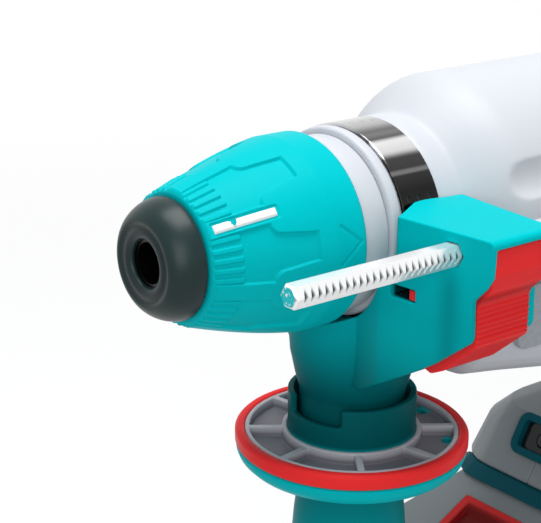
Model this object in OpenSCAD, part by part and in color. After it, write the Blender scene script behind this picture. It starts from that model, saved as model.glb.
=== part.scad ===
// Cordless rotary hammer with a side handle and a depth rod.
// +X runs along the spindle towards the nose, +Z is up, and the origin is in the mouth of the tool bore.

/* [Tool holder] */
// Radius of the tool bore
bore_r = 5; // [4.5:0.1:5.5]
// Depth of the tool bore
bore_depth = 38; // [36:0.5:40]
// Length of the plain front part of the bore that guides the bit
guide_len = 20; // [16:0.5:22]
// Outer radius of the tool holder
holder_r = 10; // [9.5:0.1:10.5]
// Radius of a locking ball
ball_r = 3.5; // [3.2:0.1:3.8]
// Distance from the bore's mouth to the locking balls
ball_back = 24; // [22.5:0.5:25.5]
// Length of the two drive keys in the tool bore
key_len = 14; // [10:1:14]

/* [Dust cap] */
// How far the dust cap stands in front of the bore's mouth
cap_front = 2; // [1:0.2:3]
// Length of the dust cap
cap_len = 8.2; // [7.6:0.1:9.4]
// Largest radius of the dust cap
cap_r = 14.8; // [14.2:0.1:16.2]
// Radius of the hole in the dust cap
cap_hole_r = 5.6; // [5.3:0.1:6.2]

/* [Locking sleeve] */
// Length of the locking sleeve
sleeve_len = 39; // [38.5:0.1:41]
// Radius of the locking sleeve at its front
sleeve_front_r = 15.9; // [15.4:0.1:17]
// Radius of the locking sleeve at its rear
sleeve_r = 24; // [23.8:0.1:25.4]
// Wall of the locking sleeve's rear skirt
sleeve_wall = 1.4; // [1:0.1:1.4]
// How far the locking sleeve slides back
sleeve_travel = 7.5; // [6:0.5:8]
// Number of raised lands round the locking sleeve
land_count = 7; // [4:1:8]
// Height of the raised lands
land_h = 0.8; // [0.4:0.1:1.2]
// Number of grip ribs between two lands
rib_count = 5; // [3:1:6]

/* [Nose] */
// Length of the front nose ring, where it shows
nose_ring_len = 3.3; // [2.6:0.1:4]
// Radius of the nose ring
nose_ring_r = 24; // [23.8:0.1:24.2]
// Radius of the clamp neck, under the band
neck_r = 23.5; // [23:0.1:23.7]
// Length of the ring collar behind the clamp neck
collar_len = 7.2; // [6:0.1:8.4]
// Radius of the ring collar
collar_r = 24.4; // [24.2:0.1:24.8]

/* [Hammer] */
// Outer radius of the hammer cylinder
cyl_r = 15; // [14.6:0.1:15.4]
// Bore radius of the hammer cylinder
cyl_bore_r = 12; // [11.5:0.1:12.4]
// Length of the hammer cylinder
cyl_len = 76; // [75:0.5:77]
// Length of the striker
striker_len = 28; // [24:1:30]
// Half of the piston's stroke
piston_throw = 7; // [5:0.5:7]
// Radial clearance of a sliding fit
fit_gap = 0.05; // [0.02:0.01:0.08]

/* [Gears] */
// Module of the gear pair that turns the hammer cylinder
gear_m = 1.25; // [1.2:0.01:1.27]
// Teeth of the pinion on the layshaft
lay_teeth = 12; // [11:1:12]
// Teeth of the gear on the hammer cylinder
cyl_teeth = 36; // [35:1:36]
// Module of the motor's gear pair
drive_m = 1; // [0.97:0.01:1.01]
// Teeth of the motor pinion
motor_teeth = 9; // [9:1:10]
// Teeth of the driven gear on the layshaft
drive_teeth = 35; // [34:1:35]
// Radius of the layshaft
lay_r = 4; // [3.6:0.1:4.2]

/* [Gear housing] */
// Radius of the gear housing's barrel
barrel_r = 33.1; // [32.8:0.1:34]
// Length of the flare from the collar to the barrel
flare_len = 16; // [14:0.5:18]
// Wall of the gear housing
wall = 2.6; // [2.2:0.1:2.8]
// Height from the spindle down to the belly's underside at its rear
belly_drop = 52; // [51.6:0.1:54]
// Half width of the belly
belly_half_w = 29; // [28:0.5:30]
// Radius along the belly's lower corners
belly_corner = 12; // [9:0.5:13]

/* [Motor] */
// Radius of the stator
stator_r = 24; // [23:0.1:24.2]
// Length of the stator's stack
stator_len = 34; // [30:1:36]
// Radius of the rotor core
rotor_r = 12.8; // [12:0.1:13.2]
// Radius of the motor shaft
shaft_r = 3.5; // [3:0.1:3.6]

/* [Rear handle] */
// Length of the body shells behind the gear housing
shell_len = 151; // [149:1:156]
// Radius of the grip's section across the hand
grip_half_w = 15.5; // [14:0.5:17]
// Depth of the grip from front to back
grip_depth = 33; // [31:0.5:35]
// Length of the finger opening along the tool
opening_len = 36; // [34:0.5:38]
// Height of the finger opening
opening_h = 80; // [76:1:84]
// Wall of the body shells
shell_wall = 2.5; // [2:0.1:3]
// Travel of the trigger
trigger_travel = 6; // [4:0.5:7]

/* [Base and battery] */
// Height from the spindle down to the base's top
base_top_drop = 80; // [79:0.5:81]
// Height of the base
base_h = 21; // [20:0.5:22]
// Half width of the base
base_half_w = 31; // [30:0.5:33]
// Height from the spindle down to the battery's underside
stand_h = 162; // [160:1:170]
// Length of the battery
battery_len = 126; // [122:1:130]
// Half width of the battery
battery_half_w = 36.5; // [35:0.5:38]
// Radius of a battery cell
cell_r = 9.2; // [9:0.1:9.4]
// Length of a battery cell
cell_len = 65; // [64:0.5:66]

/* [Side handle] */
// Width of the steel clamp band
band_w = 12.2; // [10:0.2:13]
// Thickness of the steel clamp band
band_t = 0.9; // [0.7:0.1:1]
// Length of the clamp block along the spindle
block_len = 20; // [18:0.5:21]
// Height of the clamp block's top above the spindle
block_top = 8.7; // [8:0.1:10]
// Distance from the spindle to the clamp block's outer side
block_out = 56.4; // [54:0.2:58]
// Radius of the stem where it enters the grip
stem_r = 14; // [13.6:0.1:16]
// Distance from the spindle down to the guard flange's top
flange_drop = 58.1; // [56:0.1:60]
// Radius of the guard flange
flange_r = 31; // [28:0.5:32]
// Height of the red guard ring
ring_h = 4; // [3.4:0.1:6.5]
// Number of spokes in the guard flange
spoke_count = 8; // [5:1:10]
// Length of the side grip below the guard flange
grip_len = 98; // [90:1:98]
// Radius of the side grip at its neck
grip_neck_r = 14; // [13.6:0.2:15.6]

/* [Depth rod] */
// Distance from the spindle sideways to the depth rod
rod_y = 44.6; // [44:0.1:45.4]
// Height of the depth rod above the spindle
rod_z = 3.4; // [3:0.1:3.6]
// Distance across the depth rod's flats
rod_flats = 5.1; // [4.8:0.1:6.2]
// Length of the depth rod
rod_len = 160; // [130:1:170]
// Distance from the bore's mouth back to the depth rod's front end
rod_back = 4.5; // [2:0.5:20]
// Pitch of the teeth on the depth rod
rod_pitch = 2.2; // [2:0.1:3]
// Travel of the depth lock button
lock_travel = 4.5; // [3:0.5:5]

/* [Hidden] */

// Small and round settings
eps = 0.01;
round_fn = 96;
skin = 0.2;
face_gap = 0.3;

// Places along the spindle, from the nose to the rear
cap_back_x = cap_front - cap_len;
sleeve_front_x = cap_back_x - face_gap;
sleeve_back_x = sleeve_front_x - sleeve_len;
sleeve_stop_gap = 1;
guide_back_x = sleeve_back_x - sleeve_travel - sleeve_stop_gap;
neck_front_x = guide_back_x - nose_ring_len;
clamp_x = neck_front_x - face_gap / 2 - band_w / 2;
collar_front_x = clamp_x - band_w / 2 - face_gap / 2;
collar_back_x = collar_front_x - collar_len;
cyl_front_x = guide_back_x + 4;
cyl_back_x = cyl_front_x - cyl_len;
plug_len = 12;
holder_back_x = cyl_front_x - plug_len;
barrel_front_x = collar_back_x - flare_len;
lay_front_x = collar_back_x - 5.6;

// Gear centres
lay_z = -gear_m * (lay_teeth + cyl_teeth) / 2;
motor_z = lay_z + drive_m * (motor_teeth + drive_teeth) / 2;
gear_w = 7;
lay_bearing_len = 8;
cyl_gear_x = lay_front_x - lay_bearing_len - 6.5;
wobble_x = lay_front_x - 57;
wobble_r = 12;
ring_r = 16;
finger_r = 3.4;

// The bearing plate closes the gear housing, and the motor stands behind it
plate_x = wobble_x - 24.5;
plate_t = 9.5;
plate_back_x = plate_x - plate_t;
drive_gear_x = wobble_x - 16.3;
drive_w = 6;
fan_x = plate_back_x - 2;
fan_w = 9;
stator_x = fan_x - fan_w - 5;
winding_len = 5;
rear_bearing_x = stator_x - stator_len - winding_len - 2.5;
rear_bearing_w = 6;

// Radii inside the nose
snout_r = 20.5;
seal_seat_r = 19;
seal_w = 5;
bearing_r = 21;
bearing_w = 7;
lock_ring_r = 15;
chamber_r = 7.5;
guide_r = sleeve_r - sleeve_wall - face_gap;
bearing_front_x = neck_front_x - 0.6;
mouth_wall_x = sleeve_back_x - face_gap;

// Joint between the gear housing and the body shells
joint_x = plate_x - 5;
shell_back_x = joint_x - shell_len;
lay_front_r = 7;
lay_rear_r = 11;
lay_rear_w = 7;
front_bearing_r = 9.5;
front_bearing_w = 6;

// The finger opening in the rear handle
opening_back_x = shell_back_x + grip_depth + 5.5;
opening_front_x = opening_back_x + opening_len;
shell_low_z = -base_top_drop;
foot_rise = 4;
opening_top_z = shell_low_z + foot_rise + opening_h;
motor_back_x = rear_bearing_x - rear_bearing_w - 2.4;

// The base and the battery
base_low_z = -base_top_drop - base_h;
base_front_x = plate_x + 29;
battery_top_z = base_low_z - face_gap;
battery_low_z = -stand_h;
battery_split_z = battery_top_z - 17;
battery_front_x = base_front_x + 38.5;
battery_back_x = battery_front_x - battery_len;

// The side handle hangs from the neck
band_out_r = neck_r + fit_gap + band_t;
saddle_r = max(band_out_r, collar_r, nose_ring_r) + face_gap;
sleeve_clear_r = sleeve_r + 0.7;
block_front_x = clamp_x + block_len / 2;
block_back_x = clamp_x - block_len / 2;
stem_low_z = -flange_drop + 3;
collar_wall = 1.7;
cup_r = stem_r + 1.3;
hub_r = cup_r + collar_wall;
bolt_r = 4;

// Blends every corner [x, y, r] of an outline with an arc of its own radius
function unit2(v) = v / norm(v);
function blend(p, q, s, r, n) =
  let(a = unit2(p - q), b = unit2(s - q), half = acos(max(-1, min(1, a * b))) / 2)
  let(d = r / tan(half), c = q + unit2(a + b) * r / sin(half), u = q + a * d, v = q + b * d)
  let(a0 = atan2(u.y - c.y, u.x - c.x), turn = (atan2(v.y - c.y, v.x - c.x) - a0 + 540) % 360 - 180)
  [for (i = [0:n]) c + r * [cos(a0 + turn * i / n), sin(a0 + turn * i / n)]];
function rounded(path, n = 5) = [for (i = [0:len(path) - 1])
  let(m = len(path), q = path[i], p = path[(i + m - 1) % m], s = path[(i + 1) % m])
  each (q[2] > 0 ? blend([p[0], p[1]], [q[0], q[1]], [s[0], s[1]], q[2], n) : [[q[0], q[1]]])];
function box2(x0, x1, y0, y1, r) = rounded([[x0, y0, r], [x1, y0, r], [x1, y1, r], [x0, y1, r]]);

// Solids that lie along the spindle
module rod_x(x_back, x_front, r) translate([x_back, 0, 0]) rotate([0, 90, 0])
  cylinder(h = x_front - x_back, r = r, $fn = round_fn);
module pipe_x(x_back, x_front, r_out, r_in) difference() {
  rod_x(x_back, x_front, r_out);
  rod_x(x_back - 1, x_front + 1, r_in);
}
module spin_x(points) rotate([0, 90, 0]) rotate_extrude($fn = round_fn) polygon(points);
module section_x(x, h = skin) translate([x, 0, 0]) rotate([90, 0, 90]) linear_extrude(h) children();
module side_y(w) rotate([90, 0, 0]) linear_extrude(w, center = true) children();

// A ball bearing with its two rings and the shield between them
module bearing_x(x_front, w, r_out, r_in) {
  ring_w = (r_out - r_in) * 0.22;
  dish = 0.4;
  translate([x_front, 0, 0]) spin_x([[r_in, 0], [r_in + ring_w, 0], [r_in + ring_w, -dish],
    [r_out - ring_w, -dish],
    [r_out - ring_w, 0], [r_out, 0], [r_out, -w], [r_out - ring_w, -w], [r_out - ring_w, dish - w],
    [r_in + ring_w, dish - w], [r_in + ring_w, -w], [r_in, -w]]);
}

// Involute spur gears with stub teeth
pressure = 25;
backlash = 0.16;
function involute(base, r) = let(a = acos(min(1, base / r))) tan(a) * 180 / PI - a;
function flank(base, r0, r1, steps) = [for (i = [0:steps]) let(r = r0 + (r1 - r0) * i / steps)
  [r, r > base ? involute(base, r) : 0]];
module gear2d(teeth, m) {
  pitch = m * teeth / 2;
  base = pitch * cos(pressure);
  tip = pitch + 0.8 * m;
  root = pitch - m;
  half = 90 / teeth - backlash / pitch * 90 / PI + involute(base, pitch);
  side = concat([[root, 0]], flank(base, max(base, root + eps), tip, 4));
  polygon([for (i = [0:teeth - 1]) each concat(
    [for (p = side) let(a = 360 * i / teeth - half + p[1]) p[0] * [cos(a), sin(a)]],
    [for (k = [len(side) - 1:-1:0]) let(p = side[k], a = 360 * i / teeth + half - p[1]) p[0] * [cos(a),
      sin(a)]])]);
}
module gear_x(x_front, w, teeth, m, turn) translate([x_front - w, 0, 0]) rotate([turn, 0, 0]) rotate([0,
  90, 0])
  linear_extrude(w) gear2d(teeth, m);

// A coil spring along X, as one tube swept on a helix
module coil_x(x_front, x_back, r, wire, turns) {
  steps = 14;
  sides = 6;
  rings = steps * turns;
  run = x_front - x_back - 2 * wire;
  function spot(i, j) = let(a = 360 * i / steps, b = 360 * j / sides, q = r + wire * cos(b))
    [x_front - wire - run * i / rings + wire * sin(b), q * cos(a), q * sin(a)];
  polyhedron([for (i = [0:rings], j = [0:sides - 1]) spot(i, j)], concat(
    [for (i = [0:rings - 1], j = [0:sides - 1], k = [0, 1]) let(a = i * sides + j,
      b = i * sides + (j + 1) % sides)
      k == 0 ? [a, b, a + sides] : [b, b + sides, a + sides]],
    [[for (j = [sides - 1:-1:0]) j]], [[for (j = [0:sides - 1]) rings * sides + j]]));
}

// ---------- Nose and chuck ----------

steel = [0.62, 0.63, 0.65];
teal = [0.02, 0.62, 0.65];
red = [0.9, 0.16, 0.14];
pale = [0.83, 0.85, 0.88];
grey = [0.42, 0.46, 0.48];
black = [0.08, 0.09, 0.1];

key_w = 2;
key_h = 1.4;
bore_relief = 0.2;

// Steel tool holder: bore with two drive keys, ball windows, flange and the plug that joins the cylinder
module tool_holder() color(steel) {
  window_r = ball_r + fit_gap;
  difference() {
    union() {
      rod_x(cyl_front_x, 0, holder_r);
      rod_x(cyl_front_x, cyl_front_x + 3, cyl_r);
      rod_x(holder_back_x, cyl_front_x + eps, cyl_bore_r);
    }
    rod_x(-guide_len - eps, 1, bore_r);
    rod_x(-bore_depth - eps, -guide_len, bore_r + bore_relief);
    rod_x(holder_back_x - 1, -bore_depth, chamber_r);
    for (s = [-1, 1]) translate([-ball_back, 0, 0]) scale([1, 1, s]) cylinder(h = holder_r + 1,
      r = window_r, $fn = 48);
  }
  for (s = [-1, 1]) translate([-bore_depth, s > 0 ? bore_r - key_h : -bore_r - 0.5, -key_w / 2])
    cube([key_len, key_h + 0.5, key_w]);
}

// Two balls that lock the bit, in their windows
module locking_balls() color(steel) for (s = [-1, 1])
  translate([-ball_back, 0, s * (holder_r + 0.95 - ball_r)]) sphere(r = ball_r, $fn = 48);

// Soft black cap over the nose of the holder
module dust_cap() color(black) {
  lip_r = 9.4;
  seat_r = holder_r + fit_gap;
  spin_x([[cap_hole_r, 0], [cap_hole_r, cap_front * 0.3], [cap_hole_r + 0.5, cap_front * 0.65],
    [lip_r - 2, cap_front * 0.88],
    [lip_r - 0.6, cap_front], [lip_r + 0.8, cap_front - 0.3],
    each [for (i = [1:6]) let(a = 90 * i / 6) [lip_r + 0.8 + (cap_r - lip_r - 0.8) * sin(a),
      cap_front - 0.3 - (cap_len - 2.4) * (1 - cos(a))]],
    [cap_r, cap_back_x + 1.2], [cap_r - 0.8, cap_back_x], [seat_r, cap_back_x], [seat_r, 0]]);
}

// Outer radius of the sleeve at a share t of its length, from the front
function sleeve_at(t) = sleeve_front_r + (sleeve_r - sleeve_front_r) * (1 - pow(1 - min(1, t / 0.9), 1.45));
band_rise = 0.3;
function sleeve_line(out) = [for (i = [0:10]) let(t = i / 10 * 0.9)
  [min(sleeve_at(t) + out, sleeve_r + band_rise), sleeve_front_x - 0.8 - (sleeve_len - 0.8) * t]];
skirt_front_x = sleeve_front_x - sleeve_len * 0.76;
band_x = sleeve_front_x - sleeve_len * 0.65;
land_neck_x = sleeve_front_x - sleeve_len * 0.37;
land_half = 2.1;
land_head = 4.6;
land_wide = 7.1;
land_turn = 54.5;
land_pitch = 360 / land_count;
rib_pitch = (land_pitch - 11.4) / rib_count;
rib_back_x = sleeve_front_x - sleeve_len * 0.18;

// One raised land, seen from above: a narrow stem that spreads into a broad head behind
function land_plan() = rounded([[sleeve_front_x, -land_half + 0.3, 0], [land_neck_x, -land_half, 1],
  [land_neck_x - 1.5, -land_head, 1.5], [band_x + 3, -land_head - 1, 2.5], [band_x - 1, -land_wide, 0],
  [band_x - 1, land_wide, 0], [band_x + 3, land_head + 1, 2.5], [land_neck_x - 1.5, land_head, 1.5],
  [land_neck_x, land_half, 1], [sleeve_front_x, land_half - 0.3, 0]]);

// Teal locking sleeve: tapered shell with lands, grip ribs, a raised rear band and one chevron
module locking_sleeve() color(teal) {
  skirt_r = sleeve_r - sleeve_wall;
  seat_r = lock_ring_r + fit_gap;
  ring_back_x = -ball_back - 7;
  chevron = 4.8;
  difference() {
    union() {
      spin_x([[holder_r + face_gap, sleeve_front_x], [sleeve_front_r - 0.8, sleeve_front_x],
        each [for (point = sleeve_line(0)) if (point[1] > band_x + 1) point],
        [sleeve_r - 0.3, band_x], [sleeve_r + band_rise, band_x],
        [sleeve_r + band_rise, sleeve_back_x + 1.2], [sleeve_r - 0.4, sleeve_back_x],
        [holder_r + face_gap, sleeve_back_x]]);
      intersection() {
        spin_x([[holder_r + 4, sleeve_front_x], each [for (point = sleeve_line(land_h)) if (point[1] > band_x) point],
          [sleeve_r + band_rise - 0.05, band_x - 2],
          [holder_r + 4, band_x - 2]]);
        for (i = [0:land_count - 1]) rotate([-land_turn - land_pitch * i, 0, 0]) {
          translate([0, 0, holder_r + 3]) linear_extrude(sleeve_r) polygon(land_plan());
          for (j = [0:rib_count - 1]) rotate([land_pitch / 2 + (j - (rib_count - 1) / 2) * rib_pitch, 0, 0])
            translate([rib_back_x, -0.65, holder_r + 3]) cube([sleeve_front_x - rib_back_x, 1.3, sleeve_r]);
        }
      }
    }
    rod_x(ring_back_x, -ball_back + 11, seat_r);
    spin_x([[0, ring_back_x + eps], [seat_r, ring_back_x + eps], [skirt_r, skirt_front_x],
      [skirt_r, sleeve_back_x - 1], [0, sleeve_back_x - 1]]);
    rotate([-land_turn - land_pitch * 0.55, 0, 0])
      translate([sleeve_back_x + 1.8, 0, sleeve_r - 0.25]) linear_extrude(4)
        polygon([[0, -0.45], [chevron, -chevron], [chevron, -chevron + 1], [1, 0], [chevron, chevron - 1],
          [chevron, chevron], [0, 0.45]]);
  }
}

// Steel ring inside the sleeve that holds the balls in
module lock_ring() color(steel) {
  land_x = -ball_back + ball_r + 0.2;
  spin_x([[holder_r + 2.2, -ball_back + 11], [lock_ring_r, -ball_back + 11], [lock_ring_r, -ball_back - 7],
    [holder_r + 1, -ball_back - 7], [holder_r + 1, land_x], [holder_r + 2.2, land_x + 1]]);
}

// White index strip on one land, with a small arrow cut out of it
module sleeve_mark() color("white") {
  mark_front_x = sleeve_front_x - 1.8;
  mark_back_x = land_neck_x - 2.4;
  mark_half = 1;
  intersection() {
    difference() {
      spin_x([[holder_r + 5, sleeve_front_x], each sleeve_line(land_h + 0.25), [holder_r + 5,
        sleeve_back_x]]);
      spin_x([[0, sleeve_front_x + 1], [sleeve_front_r, sleeve_front_x + 1], each sleeve_line(land_h),
        [0, sleeve_back_x]]);
    }
    rotate([-land_turn, 0, 0]) translate([0, 0, holder_r + 4]) linear_extrude(sleeve_r) difference() {
      polygon([[mark_front_x, -mark_half], [mark_front_x, mark_half], [mark_back_x, mark_half],
        [mark_back_x, -mark_half]]);
      translate([(mark_front_x * 2 + mark_back_x) / 3, 0]) polygon([[1.3, -mark_half - 1], [-0.6, 0.3],
        [-1.3, -mark_half - 1]]);
    }
  }
}

// Return spring of the locking sleeve
module sleeve_spring() color(steel) coil_x(-ball_back - 7 - 0.2, cyl_front_x + 3.1, holder_r + 2.2, 0.9, 4);

module sleeve_guide() color(pale) pipe_x(guide_back_x, mouth_wall_x, guide_r, snout_r);
module nose_ring() color(pale) spin_x([[snout_r, guide_back_x], [nose_ring_r - 0.6, guide_back_x],
  [nose_ring_r, guide_back_x - 0.6], [nose_ring_r, neck_front_x], [snout_r, neck_front_x]]);
module oil_seal() color(black) spin_x([[cyl_r + fit_gap, cyl_front_x - 1], [seal_seat_r, cyl_front_x - 1],
  [seal_seat_r, cyl_front_x - 1 - seal_w], [cyl_r + 1.5, cyl_front_x - 1 - seal_w],
  [cyl_r + 1.5, cyl_front_x - 2], [cyl_r + fit_gap, cyl_front_x - 2]]);
module main_bearing() color(steel) bearing_x(bearing_front_x, bearing_w, bearing_r, cyl_r + fit_gap);

// ---------- Hammer ----------

module hammer_cylinder() color(steel) difference() {
  pipe_x(cyl_back_x, cyl_front_x, cyl_r, cyl_bore_r);
  for (a = [0:60:300]) rotate([a, 0, 0]) translate([cyl_back_x + 14, 0, 0]) cylinder(h = cyl_r + 1,
    r = 1.5, $fn = 24);
}
module cylinder_gear() color(steel) {
  difference() {
    gear_x(cyl_gear_x, gear_w, cyl_teeth, gear_m, 0);
    rod_x(cyl_gear_x - gear_w - 1, cyl_gear_x + 1, cyl_r);
    for (a = [0:60:300]) rotate([a, 0, 0]) translate([0, 0, cyl_r + 3.2]) rod_x(cyl_gear_x - gear_w - 1,
      cyl_gear_x + 1, 1.2);
  }
}
module impact_bolt() color(steel) {
  bolt_x = -bore_depth - 3;
  spin_x([[0, bolt_x + 2], [bore_r - 0.9, bolt_x + 2], [bore_r - 0.5, bolt_x + 1.5], [bore_r - 0.5,
    bolt_x - 2],
    [chamber_r - fit_gap, bolt_x - 4.5], [chamber_r - fit_gap, bolt_x - 15], [chamber_r - 1.5, bolt_x - 18],
    [0, bolt_x - 18]]);
}
striker_x = holder_back_x - 6;
module striker() color(steel) {
  r = cyl_bore_r - fit_gap;
  groove_x = striker_x - striker_len + 9;
  spin_x([[0, striker_x], [5, striker_x], [5.4, striker_x - 0.6], [5.4, striker_x - 8], [r - 1,
    striker_x - 9],
    [r, striker_x - 10], [r, groove_x + 1.5], [r - 1.6, groove_x + 1.5], [r - 1.6, groove_x - 1.5],
    [r, groove_x - 1.5], [r, striker_x - striker_len + 0.6], [r - 0.6, striker_x - striker_len],
    [0, striker_x - striker_len]]);
}
pin_r = 5;
fork_gap = 8.6;
air_gap = 3.6;
module piston() color([0.75, 0.76, 0.78]) {
  r = cyl_bore_r - fit_gap;
  head_x = striker_x - striker_len - piston_throw - air_gap;
  neck_x = wobble_x + 16;
  difference() {
    union() {
      spin_x([[0, head_x], [r - 0.6, head_x], [r, head_x - 0.6], [r, head_x - 3], [r - 1.4, head_x - 3],
        [r - 1.4, head_x - 6], [r, head_x - 6], [r, neck_x], [0, neck_x]]);
      translate([wobble_x - 6.5, -8, -6.5]) cube([neck_x - wobble_x + 6.5 + eps, 16, 13]);
    }
    translate([wobble_x - 7.5, -fork_gap / 2, -7.5]) cube([18.5, fork_gap, 15]);
    translate([wobble_x, 0, 0]) rotate([90, 0, 0]) cylinder(h = 40, r = pin_r + fit_gap, center = true,
      $fn = 64);
  }
}
module piston_pin() color(steel) difference() {
  translate([wobble_x, 0, 0]) rotate([90, 0, 0]) cylinder(h = 16, r = pin_r, center = true, $fn = 64);
  translate([wobble_x, 0, -10]) cylinder(h = 20, r = finger_r + 0.35, $fn = 48);
}
module wobble_ring() color(steel) translate([wobble_x, 0, lay_z]) {
  difference() {
    union() {
      rod_x(-4.5, 4.5, ring_r);
      translate([0, 0, wobble_r + 1]) cylinder(h = 6, r = 5.2, $fn = 48);
      cylinder(h = 3.2 - lay_z, r = finger_r, $fn = 48);
    }
    sphere(r = wobble_r + fit_gap, $fn = round_fn);
  }
}

// ---------- Gears and motor ----------

module layshaft() color(steel) translate([0, 0, lay_z]) {
  hub_half = 5.5;
  rod_x(plate_back_x + 1.5, lay_front_x, lay_r);
  gear_x(lay_front_x - lay_bearing_len - 1.5, gear_w + 10, lay_teeth, gear_m, 180 / lay_teeth);
  rod_x(wobble_x + 8, wobble_x + 14, 9);
  translate([wobble_x, 0, 0]) intersection() {
    sphere(r = wobble_r, $fn = round_fn);
    rod_x(-hub_half, hub_half, wobble_r + 1);
  }
  rod_x(drive_gear_x + 0.5, wobble_x + 8, 6.5);
}
module driven_gear() color(steel) translate([0, 0, lay_z]) difference() {
  gear_x(drive_gear_x, drive_w, drive_teeth, drive_m, 90 / drive_teeth * (drive_teeth % 2 == 0 ? 2 : 0));
  rod_x(drive_gear_x - drive_w - 1, drive_gear_x + 1, lay_r);
  for (a = [30:60:330]) rotate([a, 0, 0]) translate([0, 0, 10.5]) rod_x(drive_gear_x - drive_w - 1,
    drive_gear_x + 1, 2.6);
}
module lay_front_bearing() color(steel) translate([0, 0, lay_z])
  bearing_x(lay_front_x, lay_bearing_len, lay_front_r, lay_r + fit_gap);
module lay_rear_bearing() color(steel) translate([0, 0, lay_z])
  bearing_x(plate_x - 1, lay_rear_w, lay_rear_r, lay_r + fit_gap);
module motor_front_bearing() color(steel) translate([0, 0, motor_z])
  bearing_x(plate_x - 2.5, front_bearing_w, front_bearing_r, shaft_r + fit_gap);
module motor_rear_bearing() color(steel) translate([0, 0, motor_z])
  bearing_x(rear_bearing_x, rear_bearing_w, front_bearing_r, shaft_r + fit_gap);
module motor_rotor() color([0.45, 0.46, 0.5]) translate([0, 0, motor_z]) {
  rod_x(rear_bearing_x - rear_bearing_w - 1, plate_x + 1, shaft_r);
  gear_x(drive_gear_x + 1, drive_gear_x + 1 - plate_x - 0.5, motor_teeth, drive_m, 0);
  rod_x(stator_x - stator_len, stator_x, rotor_r);
  rod_x(stator_x - stator_len - 3, stator_x + 3, rotor_r - 3);
}
module cooling_fan() color(black) translate([0, 0, motor_z]) {
  blades = 14;
  difference() {
    rod_x(fan_x - fan_w, fan_x - fan_w + 1.6, stator_r - 2.5);
    rod_x(fan_x - fan_w - 1, fan_x, shaft_r);
  }
  pipe_x(fan_x - fan_w, fan_x, 7, shaft_r);
  for (i = [0:blades - 1]) rotate([360 * i / blades, 0, 0]) translate([fan_x - fan_w, 9, -0.6])
    rotate([14, 0, 0])
    cube([fan_w - 1, stator_r - 12.5, 1.2]);
}
module motor_stator() {
  slots = 6;
  color([0.3, 0.31, 0.33]) translate([0, 0, motor_z]) difference() {
    rod_x(stator_x - stator_len, stator_x, stator_r);
    rod_x(stator_x - stator_len - 1, stator_x + 1, rotor_r + 0.5);
    for (i = [0:slots - 1]) rotate([360 * i / slots, 0, 0]) translate([0, 0, stator_r])
      rod_x(stator_x - stator_len - 1, stator_x + 1, 1.4);
  }
  color([0.72, 0.38, 0.16]) translate([0, 0, motor_z]) for (i = [0:slots - 1], s = [0, 1])
    rotate([360 * (i + 0.5) / slots, 0, 0])
    translate([s == 0 ? stator_x - eps : stator_x - stator_len - winding_len + eps, -6.5, rotor_r + 1.5])
      cube([winding_len, 13, 6]);
}

// ---------- Lofts ----------

// A solid through outlines that have the same number of points; each section is [place, outline]
function backwards(list) = [for (i = [len(list) - 1:-1:0]) list[i]];
module loft(places) {
  n = len(places[0][1]);
  last = len(places) - 1;
  sections = places[0][0] < places[last][0] ? places : backwards(places);
  polyhedron([for (s = sections, q = s[1]) [q[0], q[1], s[0]]], concat(
    [for (i = [0:last - 1], j = [0:n - 1], k = [0, 1]) let(a = i * n + j, b = i * n + (j + 1) % n)
      k == 0 ? [a, a + n, b] : [b, a + n, b + n]],
    [[for (j = [0:n - 1]) j]], [[for (j = [n - 1:-1:0]) last * n + j]]));
}
module loft_x(sections) rotate([90, 0, 90]) loft(sections);

// ---------- Gear housing ----------

flare_steps = 7;
function flare(t) = collar_r + (barrel_r - collar_r) * sin(90 * t);
function belly(hw, low, r) = rounded([[-hw, 0, 0], [-hw, low, r], [hw, low, r], [hw, 0, 0]], 6);
chin_x = collar_back_x - 4.6;
function belly_sections(inset, front_x) = [for (s = [[chin_x, belly_half_w - 3.4, 10.5], [chin_x - 2.5,
  belly_half_w - 1.6, 8.9],
  [chin_x - 14, belly_half_w - 0.5, 7.5], [chin_x - 34, belly_half_w, 4], [joint_x, belly_half_w, 0]])
  [min(s[0], front_x - abs(s[0] - chin_x) * eps), belly(s[1] - inset, s[2] - belly_drop + inset,
    belly_corner - inset)]];
belly_cavity_x = lay_front_x - lay_bearing_len - 0.6;
knob_x = joint_x + 38;
knob_r = 13;
knob_seat_y = barrel_r + 0.6;
knob_hub_r = 6.1;
groove_r = 9;
groove_z = 14;
groove_out = 4.6;
groove_front_x = chin_x - 8;
groove_back_x = joint_x + 14;
pad_y = belly_half_w - 1.3;
pad_front_x = chin_x - 11;
pad_back_x = joint_x + 9;
function pad_plan(inset) = rounded([[pad_back_x + inset, -36 + inset, 2], [pad_front_x - inset - 1,
  -35 + inset, 3],
  [pad_front_x - inset, -18 - inset, 2], [pad_back_x + inset, -19 - inset, 2]], 4);

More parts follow.
